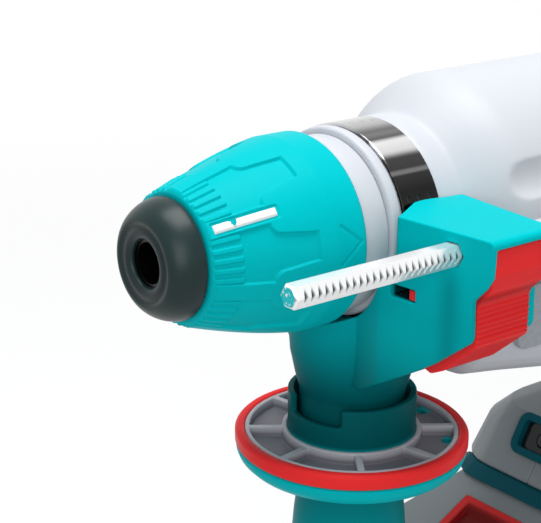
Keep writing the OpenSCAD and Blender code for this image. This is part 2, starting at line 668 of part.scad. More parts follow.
// Pale housing round the hammer and the gears: snout, clamp neck, collar, flare, barrel and belly
module gear_housing() color(pale) difference() {
  inner_r = barrel_r - wall;
  seal_x = cyl_front_x - 1;
  pocket_x = lay_front_x - lay_bearing_len;
  boss_r = lay_front_r + 2.6;
  union() {
    difference() {
      union() {
        spin_x([[0, seal_x + 1], [snout_r, seal_x + 1], [snout_r, neck_front_x], [neck_r, neck_front_x],
          [neck_r, collar_front_x], [collar_r - 0.5, collar_front_x], [collar_r, collar_front_x - 0.5],
          each [for (i = [0:flare_steps]) [flare(i / flare_steps),
            collar_back_x - flare_len * i / flare_steps]],
          [barrel_r, joint_x], [0, joint_x]]);
        loft_x(belly_sections(0, 0));
        translate([knob_x, 0, 0]) rotate([90, 0, 0]) cylinder(h = knob_seat_y, r = knob_r + 2, $fn = 64);
      }
      rod_x(bearing_front_x - eps, seal_x + 2, seal_seat_r + fit_gap);
      spin_x([[0, bearing_front_x], [bearing_r + fit_gap, bearing_front_x], [bearing_r + fit_gap,
        collar_back_x - 1],
        each [for (i = [1:flare_steps]) [flare(i / flare_steps) - wall,
          collar_back_x - 1.5 - flare_len * i / flare_steps]],
        [inner_r, joint_x - 1], [0, joint_x - 1]]);
      loft_x([for (q = belly_sections(wall, belly_cavity_x)) [q[0] == joint_x ? joint_x - 1 : q[0], q[1]]]);
      for (s = [-1, 1]) {
        translate([0, s * (barrel_r + groove_out), groove_z]) {
          translate([groove_front_x, 0, 0]) sphere(r = groove_r, $fn = 48);
          rod_x(groove_back_x, groove_front_x, groove_r);
          translate([groove_back_x, 0, 0]) sphere(r = groove_r, $fn = 48);
        }
        translate([0, s * (pad_y + 5), 0]) side_y(10) polygon(pad_plan(0));
      }
    }
    intersection() {
      translate([0, 0, lay_z]) union() {
        rod_x(pocket_x, chin_x, boss_r);
        translate([pocket_x, -boss_r, -20]) cube([lay_bearing_len + 1, 2 * boss_r, 20]);
      }
      loft_x(belly_sections(0.5, 0));
    }
  }
  translate([0, 0, lay_z]) rod_x(pocket_x - 1, lay_front_x, lay_front_r + fit_gap);
  translate([knob_x, 0, 0]) rotate([90, 0, 0]) cylinder(h = knob_seat_y + 1, r = knob_hub_r + fit_gap,
    $fn = 64);
}

module side_pads() color(teal) for (s = [-1, 1]) intersection() {
  translate([0, s * (pad_y + 1.1), 0]) side_y(2.1) polygon(pad_plan(0.1));
  translate([0, 0, -60]) cube([400, 2 * (pad_y + 3), 200], center = true);
}

// Aluminium plate that carries the rear layshaft bearing and the motor's front bearing
module bearing_plate() color([0.7, 0.71, 0.73]) {
  gap = 0.1;
  difference() {
    section_x(plate_back_x, plate_t) {
      circle(r = barrel_r - wall - gap, $fn = round_fn);
      polygon(belly(belly_half_w - wall - gap, wall + 0.9 - belly_drop, belly_corner - wall));
    }
    translate([0, 0, lay_z]) rod_x(plate_x - 1 - lay_rear_w, plate_x + 1, lay_rear_r + fit_gap);
    translate([0, 0, motor_z]) rod_x(plate_x - 2.5 - front_bearing_w, plate_x + 1,
      front_bearing_r + fit_gap);
    translate([0, 0, motor_z]) rod_x(plate_back_x - 1, plate_x, shaft_r + 1);
    translate([0, 0, 18]) rod_x(plate_back_x - 1, plate_back_x + 5, 9);
  }
}

// ---------- Body shells ----------

bridge_top_z = barrel_r - 0.4;
function foot(x0, x1, hw, r) = rounded([[x0, -hw, r], [x1, -hw, r], [x1, hw, r], [x0, hw, r]], 5);
function bar(hw, z0, z1, r) = rounded([[-hw, z0, r], [hw, z0, r], [hw, z1, r], [-hw, z1, r]], 5);
function grip_sections(inset, z0, z1) = [for (z = [z0, (z0 + z1) / 2, z1])
  let(lean = (z - shell_low_z) * 0.03)
  [z, foot(shell_back_x + inset + lean, shell_back_x + grip_depth - inset + lean, grip_half_w - inset,
    12 - inset)]];

// The whole body as one form; inset draws it smaller for the hollow inside
module body_form(inset) {
  end_x = opening_front_x + inset;
  low_z = shell_low_z + inset;
  spin_x([[0, joint_x], [barrel_r - inset, joint_x], [barrel_r - inset, motor_back_x + 14],
    [barrel_r - 3.5 - inset, end_x + 2], [0, end_x + 2]]);
  loft([for (s = [[low_z, end_x, joint_x - 8 - inset, belly_half_w - inset],
    [-belly_drop - 8, end_x, joint_x - 5 - inset, belly_half_w - inset],
    [-belly_drop + belly_corner, end_x, joint_x, belly_half_w - inset], [0, end_x, joint_x,
      belly_half_w - inset]])
    [s[0], foot(s[1], s[2], s[3], 8 - inset)]]);
  loft_x([[joint_x - 30, belly(belly_half_w - inset, inset - belly_drop, belly_corner - inset)],
    [joint_x, belly(belly_half_w - inset, inset - belly_drop, belly_corner - inset)]]);
  loft_x([[shell_back_x + 8 + inset, bar(grip_half_w - inset, opening_top_z - 12 + inset,
    bridge_top_z - 12 - inset, 7 - inset)],
    [shell_back_x + 20, bar(grip_half_w + 1 - inset, opening_top_z + inset, bridge_top_z - 5 - inset,
      9 - inset)],
    [opening_front_x + 8, bar(barrel_r - 11 - inset, opening_top_z + inset, bridge_top_z - 2 - inset,
      10 - inset)],
    [opening_front_x + 20, bar(barrel_r - 8 - inset, opening_top_z + inset, bridge_top_z - 1 - inset,
      10 - inset)]]);
  loft(grip_sections(inset, low_z, opening_top_z + 12));
}

boss_spots = [[joint_x - 16, -66], [opening_front_x + 12, -66], [opening_front_x + 10, 22],
  [shell_back_x + 18, 6],
  [shell_back_x + 15, -70], [joint_x - 60, -66]];
grip_low_z = shell_low_z + 9;
grip_high_z = opening_top_z - 12;
trigger_z = opening_top_z - 32;
trigger_half_w = 6.8;
trigger_half_h = 14.6;
lever_x = opening_back_x + 5;
lever_z = opening_top_z + 8;

module body_shell(side) {
  keep = 200;
  difference() {
    union() {
      difference() {
        body_form(0);
        difference() {
          body_form(shell_wall);
          for (x = [stator_x - 5, stator_x - stator_len + 3]) translate([x, -keep, -keep]) cube([2.4,
            2 * keep, 2 * keep]);
          translate([rear_bearing_x - rear_bearing_w - 2, -keep, motor_z - 16]) cube([rear_bearing_w + 1,
            2 * keep, 32]);
          for (b = boss_spots) translate([b[0], keep / 2, b[1]]) rotate([90, 0, 0]) cylinder(h = keep,
            r = 4, $fn = 32);
        }
        translate([joint_x - plate_t, -keep, -keep]) cube([plate_t + 1, 2 * keep, 2 * keep]);
      }
      difference() {
        intersection() {
          translate([joint_x - plate_t, -keep, -keep]) cube([plate_t, 2 * keep, 2 * keep]);
          body_form(0);
        }
        rod_x(joint_x - 20, joint_x + 1, barrel_r - shell_wall);
        loft_x([[joint_x - 20, belly(belly_half_w - shell_wall, shell_wall - belly_drop,
          belly_corner - shell_wall)],
          [joint_x + 1, belly(belly_half_w - shell_wall, shell_wall - belly_drop,
            belly_corner - shell_wall)]]);
      }
    }
    translate([-keep * 2, side > 0 ? -keep : 0, -keep]) cube([keep * 2, keep, 2 * keep]);
    translate([0, 0, motor_z]) rod_x(stator_x - stator_len - 0.5, stator_x, stator_r + fit_gap);
    translate([0, 0, motor_z]) rod_x(rear_bearing_x - rear_bearing_w, rear_bearing_x,
      front_bearing_r + fit_gap);
    translate([0, 0, motor_z]) rod_x(rear_bearing_x - 10, stator_x + 1, shaft_r + 2);
    difference() {
      translate([shell_back_x - 5, -keep, grip_low_z]) cube([grip_depth + 12, 2 * keep,
        grip_high_z - grip_low_z]);
      loft(grip_sections(1.6, shell_low_z, opening_top_z + 12));
    }
    translate([opening_back_x - 12, -trigger_half_w - 0.6, trigger_z - trigger_half_h - 0.8])
      cube([16, 2 * trigger_half_w + 1.2, 2 * trigger_half_h + 1.6]);
    translate([lever_x - 4.2, -keep, lever_z - 3.2]) cube([8.4, 2 * keep, 6.4]);
    for (i = [0:6]) translate([motor_back_x + 6 + 5 * i, side * (barrel_r - 8), -9]) cube([2.4, 24, 20],
      center = true);
    for (b = boss_spots) translate([b[0], 0, b[1]]) rotate([90, 0, 0]) {
      translate([0, 0, -9.2]) cylinder(h = keep, r = screw_r + 0.1, $fn = 24);
      translate([0, 0, screw_seat(b)]) cylinder(h = keep, r = screw_head_r + 0.2, $fn = 32);
    }
  }
}
screw_head_r = 3.5;
screw_r = 1.7;
function screw_seat(b) = b[0] < opening_back_x ? grip_half_w - 4.5 : 12.5;
module body_shell_left() color(pale) body_shell(1);
module body_shell_right() color(pale) body_shell(-1);

module handle_grip() color(black) difference() {
  loft(grip_sections(-0.5, grip_low_z + 0.1, grip_high_z - 0.1));
  loft(grip_sections(1.5, shell_low_z, opening_top_z + 12));
  translate([opening_back_x - 12, -trigger_half_w - 1.2, trigger_z - trigger_half_h - 1.4])
    cube([20, 2 * trigger_half_w + 2.4, 2 * trigger_half_h + 2.8]);
}

module case_screws() color(steel) for (b = boss_spots)
  translate([b[0], 0, b[1]]) rotate([90, 0, 0]) {
    screw_h = screw_seat(b);
    difference() {
      translate([0, 0, screw_h]) cylinder(h = 2.4, r = screw_head_r, $fn = 32);
      translate([0, 0, screw_h + 1]) cylinder(h = 2, r = 1.8, $fn = 6);
    }
    translate([0, 0, -9]) cylinder(h = screw_h + 9 + eps, r = screw_r, $fn = 24);
  }

module mode_knob() color(black) translate([knob_x, 0, 0]) rotate([90, 0, 0]) {
  seat = knob_seat_y + 0.2;
  difference() {
    union() {
      rotate_extrude($fn = 64) polygon([[0, seat], [knob_r, seat], [knob_r, seat + 2.4], [knob_r - 1.2,
        seat + 3.4],
        [0, seat + 3.4]]);
      translate([0, 0, seat]) linear_extrude(7) polygon(box2(-knob_r + 1.5, knob_r - 1.5, -3.4, 3.4, 2.6));
      translate([0, 0, seat - wall - 2]) cylinder(h = wall + 3, r = knob_hub_r, $fn = 64);
    }
    translate([knob_r - 5.5, 0, seat + 6.4]) cylinder(h = 2, r = 1.3, $fn = 24);
  }
}

module trigger() color(red) {
  face_x = opening_back_x + trigger_travel + 2.5;
  back_x = opening_back_x - 10;
  difference() {
    side_y(2 * trigger_half_w) polygon(rounded([[back_x, trigger_z - trigger_half_h, 0],
      [face_x - 1.5, trigger_z - trigger_half_h, 5], [face_x - 3.5, trigger_z, 20],
      [face_x + 0.5, trigger_z + trigger_half_h, 5], [back_x, trigger_z + trigger_half_h, 0]], 6));
    translate([back_x - 1, 1.4 - trigger_half_w, trigger_z - trigger_half_h + 2])
      cube([grip_depth / 2, 2 * trigger_half_w - 2.8, 2 * trigger_half_h - 4]);
  }
  for (s = [-1, 1]) translate([back_x, s > 0 ? trigger_half_w - eps : -trigger_half_w - 1.2,
    trigger_z - trigger_half_h + 2.6])
    cube([1.8, 1.2 + eps, 2 * trigger_half_h - 5.2]);
}
module switch_body() color(black) {
  back_x = opening_back_x - 26;
  translate([back_x, -8, trigger_z - 12]) cube([10, 16, 24]);
  translate([back_x + 10 - eps, -5, trigger_z - 10]) cube([5.5, 10, 20]);
}
module direction_lever() color(black) translate([lever_x, 0, lever_z]) {
  reach = grip_half_w + 4.5;
  rotate([90, 0, 0]) linear_extrude(2 * reach, center = true) polygon(box2(-3.9, 3.9, -2.9, 2.9, 1.2));
}

// ---------- Base ----------

slope = atan2(10, 18);
foot_back_x = shell_back_x + 12;
rail_front_x = base_front_x - 4.3;
tongue_len = 58;
slide_travel = 15;
tongue_front_x = rail_front_x - slide_travel - 0.5;
tongue_w = 17;
lip_w = 21;
function base_ring(z, front, hw, r, grow) = [z, rounded([[foot_back_x - grow, -hw, r], [front, -hw, r + 4],
  [front, hw, r + 4], [foot_back_x - grow, hw, r]], 5)];
module base_form(inset) loft([
  base_ring(shell_low_z - inset, base_front_x - 10 - inset, base_half_w - 7 - inset, 9 - inset, -6 - inset),
  base_ring(shell_low_z - 6, base_front_x - 6.7 - inset, base_half_w - 1 - inset, 10 - inset, -1 - inset),
  base_ring(base_low_z + 4, base_front_x - inset, base_half_w - inset, 10 - inset, -inset),
  base_ring(base_low_z + inset, base_front_x - 1 - inset, base_half_w - inset, 10 - inset, -inset)]);
module bezel_place() translate([base_front_x - 6.2, 0, shell_low_z - 5]) rotate([0, -slope, 0])
  rotate([90, 0, 90]) children();
bezel_half_w = 9.6;
bezel_half_h = 6.6;

trim_h = 3.2;
trim_x = base_front_x - 4;
module trim_zone(gap) translate([trim_x + gap, -60, base_low_z - 1]) cube([20, 120, trim_h + 1 - gap]);
// Strip across the lower front edge of the base
module base_trim() color([0.02, 0.36, 0.4]) intersection() {
  loft([base_ring(base_low_z + trim_h - 0.05, base_front_x + 0.4, base_half_w + 0.2, 10, -6),
    base_ring(base_low_z, base_front_x + 4.8, base_half_w + 0.6, 10, -6)]);
  trim_zone(0.05);
}
module base_shell(side) {
  keep = 200;
  difference() {
    base_form(0);
    difference() {
      base_form(shell_wall);
      translate([rail_front_x - slide_travel - tongue_len - 4, -lip_w - 2.8, base_low_z])
        cube([slide_travel + tongue_len + 6, 2 * lip_w + 5.6, 10]);
    }
    translate([rail_front_x - slide_travel - tongue_len - 1, -lip_w - 0.3, base_low_z + 3.2])
      cube([slide_travel + tongue_len + 1, 2 * lip_w + 0.6, 4.3]);
    translate([rail_front_x - slide_travel - tongue_len - 1, -tongue_w - 0.3, base_low_z - 1])
      cube([slide_travel + tongue_len + 1, 2 * tongue_w + 0.6, 6]);
    translate([-2 * keep, side > 0 ? -keep : 0, -keep]) cube([2 * keep, keep, 2 * keep]);
    trim_zone(0);
    bezel_place() translate([0, 0, -6]) linear_extrude(12) square([2 * bezel_half_w - 2.4,
      2 * bezel_half_h - 2.4], center = true);
    translate([rail_front_x - slide_travel - tongue_len + 4, -lip_w + 4, base_low_z + 6]) cube([10,
      2 * lip_w - 8, 6]);
  }
}
module base_shell_left() color(grey) base_shell(1);
module base_shell_right() color(grey) base_shell(-1);

module base_bumper() color(black) difference() {
  intersection() {
    translate([foot_back_x - 2, -base_half_w - 2, base_low_z + 5]) cube([9, 2 * base_half_w + 4, 9]);
    loft([for (z = [base_low_z + 4, shell_low_z - 6]) base_ring(z, base_front_x, base_half_w + 1.2, 11,
      1.2)]);
  }
  loft([for (z = [base_low_z + 3, shell_low_z - 5]) base_ring(z, base_front_x, base_half_w + 0.05, 10,
    0.05)]);
}

module light_bezel() color(teal) bezel_place() difference() {
  union() {
    translate([0, 0, 0.1]) linear_extrude(1.8) polygon(box2(-bezel_half_w, bezel_half_w, -bezel_half_h,
      bezel_half_h, 3.4));
    translate([0, 0, -5]) linear_extrude(5.2) square([2 * bezel_half_w - 2.8, 2 * bezel_half_h - 2.8],
      center = true);
  }
  translate([0, 0, -3.4]) linear_extrude(6) polygon(box2(-bezel_half_w + 2.4, bezel_half_w - 2.4,
    -bezel_half_h + 2.4,
    bezel_half_h - 2.4, 1.6));
}
module light_lens() color([0.1, 0.12, 0.13]) bezel_place() translate([0, 0, -3.4]) {
  linear_extrude(3) polygon(box2(-bezel_half_w + 2.5, bezel_half_w - 2.5, -bezel_half_h + 2.5,
    bezel_half_h - 2.5, 1.5));
  translate([0, 0, 2.6]) scale([1, 1, 0.5]) sphere(r = 2.6, $fn = 32);
}

module control_board() color([0.1, 0.35, 0.2]) {
  board_z = shell_low_z - 5;
  board_x = joint_x - 110;
  translate([board_x, -18, board_z]) cube([70, 36, 1.6]);
  for (i = [0:3]) translate([board_x + 8 + 15 * i, -8, board_z - 3 + eps]) cube([9, 16, 3]);
}
module terminal_block() color(black) {
  x = rail_front_x - slide_travel - tongue_len + 4.2;
  translate([x, -lip_w + 4.2, base_low_z + 7.6]) cube([9.6, 2 * lip_w - 8.4, 4.3]);
  for (i = [-1, 0, 1]) translate([x + 3, 9 * i - 0.5, base_low_z + 3.4]) cube([6, 1, 4.3]);
}

// ---------- Battery ----------

tongue_back_x = tongue_front_x - tongue_len;
button_front_x = battery_front_x - 13.3;
button_back_x = battery_front_x - 29.8;
button_w = 31;
button_t = 3;
release_travel = 3;
nose_top_x = battery_front_x - 33.3;
nose_slope = 0.51;
nose_top_z = battery_top_z - 2;
function nose_z(x) = nose_top_z - nose_slope * (x - nose_top_x);
battery_floor = 3;
cell_roof = 14.8;
cell_spacing = 0.8;
cell_pitch = 2 * cell_r + cell_spacing;
cell_room_h = battery_top_z - cell_roof - battery_low_z - battery_floor;
cell_room_len = battery_len - 16;
cell_layers = floor((cell_room_h + cell_spacing) / cell_pitch);
cell_rows = floor((cell_room_len + cell_spacing) / cell_pitch);
function battery_side() = [[battery_back_x, battery_top_z, 3], [battery_front_x - 36, battery_top_z, 0],
  [nose_top_x, nose_top_z, 0], [battery_front_x - 7, nose_z(battery_front_x - 7), 4],
  [battery_front_x, battery_top_z - 16, 0.4]];
function battery_foot(hw, x0, x1, r) = rounded([[x0, -hw, r], [x1, -hw, r], [x1, hw, r], [x0, hw, r]], 6);

module button_hole(grow, deep) translate([0, 0, -deep]) side_y(button_w + 2 * grow) polygon([
  [button_back_x - grow, battery_top_z + 15], [button_back_x - grow, nose_z(button_back_x) - button_t],
  [button_front_x + grow, nose_z(button_front_x) - button_t], [button_front_x + grow, battery_top_z + 15]]);
module battery_case() color([0.47, 0.5, 0.51]) {
  difference() {
    intersection() {
      side_y(3 * battery_half_w) polygon(rounded(concat(battery_side(),
        [[battery_front_x, battery_split_z, 0], [battery_back_x, battery_split_z, 0]]), 5));
      loft([[battery_split_z - 1, battery_foot(battery_half_w, battery_back_x, battery_front_x, 9)],
        [battery_split_z + 1.5, battery_foot(battery_half_w, battery_back_x, battery_front_x, 9)],
        [battery_top_z + 1,
          battery_foot(battery_half_w - 13.2, battery_back_x + 4, battery_front_x - 1, 6)]]);
    }
    translate([battery_back_x + 4, -battery_half_w + 4, battery_split_z - 1])
      cube([cell_room_len, 2 * battery_half_w - 8, battery_top_z - cell_roof + 1 - battery_split_z]);
    button_hole(0.3, release_travel + 0.3);
  }
  difference() {
    union() {
      translate([tongue_back_x, -tongue_w, battery_top_z - eps]) cube([tongue_len, 2 * tongue_w, 5]);
      translate([tongue_back_x, -lip_w, base_low_z + 3.5]) cube([tongue_len, 2 * lip_w, 3.7]);
    }
    for (i = [-1, 0, 1]) translate([tongue_back_x - 1, 9 * i - 1.2, base_low_z + 2.5]) cube([16, 2.4, 6]);
  }
}
// Lock button of the battery, in the plane of its sloped nose, with a finger recess
module release_button() color(red) difference() {
  intersection() {
    button_hole(0, 0);
    side_y(button_w) polygon([[button_back_x, nose_z(button_back_x) + 0.6],
      [button_front_x, nose_z(button_front_x) + 0.6], [button_front_x, nose_z(button_front_x) - 20],
      [button_back_x, nose_z(button_back_x) - 20]]);
  }
  side_y(button_w - 6) polygon([[button_back_x + 2.6, nose_z(button_back_x + 2.6) + 5],
    [button_back_x + 2.6, nose_z(button_back_x + 2.6) + 0.2],
    [button_back_x + 4.5, nose_z(button_back_x + 4.5) - 1.3],
    [button_front_x - 2.6, nose_z(button_front_x - 2.6) - 0.9],
    [button_front_x - 2.6, nose_z(button_front_x - 2.6) + 5]]);
}
module battery_base() color(black) difference() {
  loft([[battery_low_z, battery_foot(battery_half_w - 2, battery_back_x + 2, battery_front_x - 2, 8)],
    [battery_low_z + 2.5, battery_foot(battery_half_w, battery_back_x, battery_front_x, 9)],
    [battery_split_z, battery_foot(battery_half_w, battery_back_x, battery_front_x, 9)]]);
  translate([battery_back_x + 4, -battery_half_w + 3, battery_low_z + battery_floor])
    cube([battery_len - 8, 2 * battery_half_w - 6, battery_split_z - battery_low_z]);
}
module battery_cells() color([0.15, 0.3, 0.6]) {
  first_x = (battery_front_x + battery_back_x) / 2 - cell_pitch * (cell_rows - 1) / 2;
  first_z = battery_low_z + battery_floor + cell_r;
  for (i = [0:cell_rows - 1], j = [0:cell_layers - 1]) translate([first_x + cell_pitch * i, 0,
    first_z + cell_pitch * j])
    rotate([90, 0, 0]) cylinder(h = cell_len, r = cell_r, center = true, $fn = 40);
}

// ---------- Side handle ----------

module clamp_band() color(steel) {
  tail = 12;
  difference() {
    union() {
      pipe_x(clamp_x - band_w / 2, clamp_x + band_w / 2, band_out_r, neck_r + fit_gap);
      translate([clamp_x - band_w / 2, -bolt_r - 1.2 - band_t, -band_out_r - tail]) cube([band_w,
        2 * (bolt_r + 1.2 + band_t), tail + 1.5]);
    }
    translate([clamp_x - band_w, -bolt_r - 1.2, -band_out_r - tail - 1]) cube([2 * band_w,
      2 * (bolt_r + 1.2), tail + 4]);
    rod_x(clamp_x - band_w, clamp_x + band_w, neck_r + fit_gap);
    for (i = [-1, 0, 1], a = [-56, -44, 0, 12, 40, 52, 90, 102]) rotate([a, 0, 0])
      translate([clamp_x + 3.6 * i, 0, band_out_r - 0.35]) cylinder(h = 1, r = 1.1, $fn = 16);
  }
}

block_in_y = 22.9;
block_spread = 3.3;
plate_top_h = 2;
rest_y = 32.8;
button_mid_y = block_out - 5;
function block_outline() = rounded([[0, -41, 0], [15, -40, 6], [31.8, -30.3, 2], [39.7, -25.3, 3],
  [button_mid_y - 0.3, -16.4, 2.5], [button_mid_y - 0.5, -6.4, 2], [block_out - 2, -2.8, 1.5],
  [block_out - 0.2, 0.2, 1], [block_out, block_top, 1.6], [block_in_y, block_top, 1],
  [block_in_y - 1, -2, 0], [0, -2, 0]], 4);
function button_outline() = rounded([[rest_y + 1, -28, 1], [37, -29, 1], [41, -27, 2],
  [button_mid_y, -18, 2.5], [button_mid_y, -7.2, 2], [block_out - 1.6, -3.7, 1.5],
  [block_out - 0.6, 0.2, 1], [block_out - 0.8, block_top - plate_top_h - 0.25, 0],
  each [for (q = button_back) [q[0], q[1], 0]]], 4);
button_back = [[rest_y + lock_travel + face_gap, block_top - plate_top_h - 0.25],
  [rest_y + lock_travel + face_gap, -14], [rest_y, -20.5], [rest_y - 0.5, -26]];
function button_room() = [[rest_y, block_top - plate_top_h], each [for (i = [1:len(button_back) - 1])
  [button_back[i][0] - lock_travel - face_gap, button_back[i][1]]], [rest_y - lock_travel, -45],
  [70, -45], [70, block_top - plate_top_h]];
button_front_face_x = block_front_x - 1.3;
button_back_face_x = block_back_x + 1.5;
spring_x = (button_front_face_x + button_back_face_x) / 2;
spring_z = -4.2;
window_front_y = 26.6;
window_low_z = -11.3;
window_h = 3.2;
tab_y = 32;
spring_r = 2.1;

function block_plan() = let(x0 = block_back_x, x1 = block_front_x) rounded([[x0, block_out + 1, 0],
  [x0 - block_spread, block_in_y, 4], [x0 + 2, -1, 0], [x1 - 2, -1, 0], [x1 + block_spread, block_in_y, 6],
  [x1, block_out + 1, 0]]);
module stem_form(grow) translate([clamp_x, 0, 0]) rotate_extrude($fn = round_fn) polygon([[0, stem_low_z],
  [stem_r + grow, stem_low_z],
  [stem_r + grow, -47], [stem_r + 1.2 + grow, -42.5], [stem_r + 2.6 + grow, -36],
  [stem_r + 3.2 + grow, -28], [stem_r + 3.2 + grow, -20], [0, -20]]);
module clamp_block() color(teal) difference() {
  union() {
    difference() {
      intersection() {
        section_x(block_back_x - 5, block_len + 10) polygon(block_outline());
        translate([0, 0, -50]) linear_extrude(80) polygon(block_plan());
      }
      section_x(button_back_face_x - 0.25, button_front_face_x - button_back_face_x + 0.5)
        polygon(button_room());
    }
    stem_form(0);
    translate([clamp_x, 0, 0]) mirror([0, 1, 0]) translate([-clamp_x, 0, 0]) intersection() {
      section_x(block_back_x + 1, block_len - 2) polygon(rounded([[0, -41, 0], [13, -40, 5], [24, -22, 4],
        [27.5, -6, 2], [20, -6, 0], [0, -20, 0]], 4));
      rod_x(-100, 0, saddle_r + 14);
    }
  }
  spin_x([[0, 1], [sleeve_clear_r, 1], [sleeve_clear_r, guide_back_x], [saddle_r, guide_back_x],
    [saddle_r, collar_back_x + 0.5],
    each [for (i = [1:flare_steps]) [flare(i / flare_steps) + 0.5,
      collar_back_x + 0.5 - flare_len * i / flare_steps]], [0, barrel_front_x]]);
  translate([clamp_x - band_w / 2 - 0.3, -bolt_r - 2.6, -band_out_r - 13]) cube([band_w + 0.6,
    2 * bolt_r + 5.2, 20]);
  translate([clamp_x, 0, stem_low_z - 1]) cylinder(h = 40, r = bolt_r + 0.4, $fn = 48);
  translate([0, rod_y, rod_z]) rod_hole(0.25);
  translate([button_back_face_x - 0.25, window_front_y, window_low_z]) cube([block_len + block_spread,
    tab_y + 2.3 - window_front_y, window_h]);
}
module rod_hole(grow) section_x(block_back_x - block_spread, block_len + 2 * block_spread)
  circle(r = (rod_flats / 2 + grow) / cos(30), $fn = 6);

module depth_rod() color([0.85, 0.86, 0.88]) {
  front_x = -rod_back;
  teeth = floor((rod_len - 24) / rod_pitch);
  corner = rod_flats / 2 / cos(30);
  intersection() {
    translate([0, rod_y, rod_z]) section_x(front_x - rod_len, rod_len) circle(r = corner, $fn = 6);
    translate([0, 0, rod_z - rod_flats]) linear_extrude(2 * rod_flats) polygon(concat(
      [[front_x - rod_len, rod_y + corner + 1], [front_x - rod_len, rod_y - corner + 0.6],
        [front_x - rod_len + 0.6, rod_y - corner - 1],
        [front_x - 0.6, rod_y - corner - 1], [front_x, rod_y - corner + 0.6], [front_x,
          rod_y + corner - 0.6],
        [front_x - 0.6, rod_y + corner]],
      [for (i = [0:teeth - 1], k = [0:2]) [front_x - 8 - rod_pitch * (i + [0, 0.35, 0.7][k]),
        rod_y + corner - [0, 1.1, 0][k]]]));
  }
}

module depth_button() color(red) {
  corner = rod_flats / 2 / cos(30);
  difference() {
    union() {
      section_x(button_back_face_x, button_front_face_x - button_back_face_x) polygon(button_outline());
      translate([button_back_face_x, tab_y, window_low_z + 0.3])
        cube([button_front_face_x - button_back_face_x, rest_y + lock_travel + 1 - tab_y, window_h - 0.6]);
    }
    translate([button_back_face_x - 1, rod_y - corner - 0.4, rod_z - rod_flats / 2 - 0.3])
      cube([block_len, 2 * corner + 0.8 + lock_travel, rod_flats + 0.6]);
    translate([spring_x, rest_y - 1, spring_z]) rotate([-90, 0, 0]) cylinder(h = 12, r = spring_r + 0.9,
      $fn = 32);
    for (i = [0:4]) translate([button_back_face_x - 1, button_mid_y + 0.3, -8.8 - 1.8 * i]) rotate([0, 90, 0])
      cylinder(h = block_len, r = 0.5, $fn = 12);
  }
}
module depth_spring() color(steel) translate([spring_x, 0, spring_z]) rotate([0, 0, 90])
  coil_x(rest_y + 10.8, rest_y + 0.2, spring_r - 0.2, 0.45, 5);

module clamp_bolt() color(steel) translate([clamp_x, 0, 0]) {
  head_z = -band_out_r - 5.5;
  nut_low_z = stem_low_z - 36;
  translate([-band_w / 2 + 0.4, -bolt_r - 1, head_z - 5]) cube([band_w - 0.8, 2 * bolt_r + 2, 5]);
  translate([0, 0, nut_low_z - 3]) cylinder(h = head_z - 4 - nut_low_z + 3, r = bolt_r, $fn = 48);
}
module grip_nut() color(steel) translate([clamp_x, 0, stem_low_z - 32]) difference() {
  cylinder(h = 7, r = 7.2, $fn = 6);
  translate([0, 0, -1]) cylinder(h = 9, r = bolt_r + fit_gap, $fn = 48);
}

ring_in_r = flange_r - 2.6;
spoke_turn = 8.9;
rim_wall = 1.3;
spoke_w = 1.8;
pocket_floor = 1.2;
module guard_flange() color([0.66, 0.65, 0.67]) translate([clamp_x, 0, 0]) {
  top_z = -flange_drop;
  low_z = top_z - ring_h;
  hub_in_r = hub_r + 0.1;
  hub_out_r = hub_in_r + 1.4;
  rim_in_r = ring_in_r - 0.05 - rim_wall;
  difference() {
    rotate_extrude($fn = round_fn) polygon([[hub_in_r, low_z], [hub_in_r, top_z], [hub_in_r + 0.3,
      top_z + 0.3],
      [hub_out_r - 0.3, top_z + 0.3], [hub_out_r, top_z], [hub_out_r, low_z + pocket_floor], [rim_in_r,
        low_z + pocket_floor],
      [rim_in_r, top_z - 0.3], [rim_in_r + 0.3, top_z], [ring_in_r - 0.35, top_z], [ring_in_r - 0.05,
        top_z - 0.3],
      [ring_in_r - 0.05, low_z]]);
    for (i = [0:spoke_count - 1]) rotate([0, 0, 360 * (i + 0.78) / spoke_count + spoke_turn])
      translate([rim_in_r - 3, -1.5, low_z - 1]) cube([2.4, 3, 3]);
  }
  for (i = [0:spoke_count - 1]) rotate([0, 0, 360 * i / spoke_count + spoke_turn])
    translate([hub_out_r - 0.6, -spoke_w / 2, low_z + pocket_floor / 2]) cube([rim_in_r - hub_out_r + 1.1,
      spoke_w, ring_h - pocket_floor / 2 - 0.15]);
}
module guard_ring() color(red) translate([clamp_x, 0, 0]) rotate_extrude($fn = round_fn)
  polygon([[ring_in_r, -flange_drop - ring_h], [ring_in_r, -flange_drop - 0.2], [ring_in_r + 0.4,
    -flange_drop + 0.15],
    [flange_r - 0.7, -flange_drop + 0.15], [flange_r, -flange_drop - 0.6], [flange_r,
      -flange_drop - ring_h + 0.5],
    [flange_r - 0.5, -flange_drop - ring_h]]);

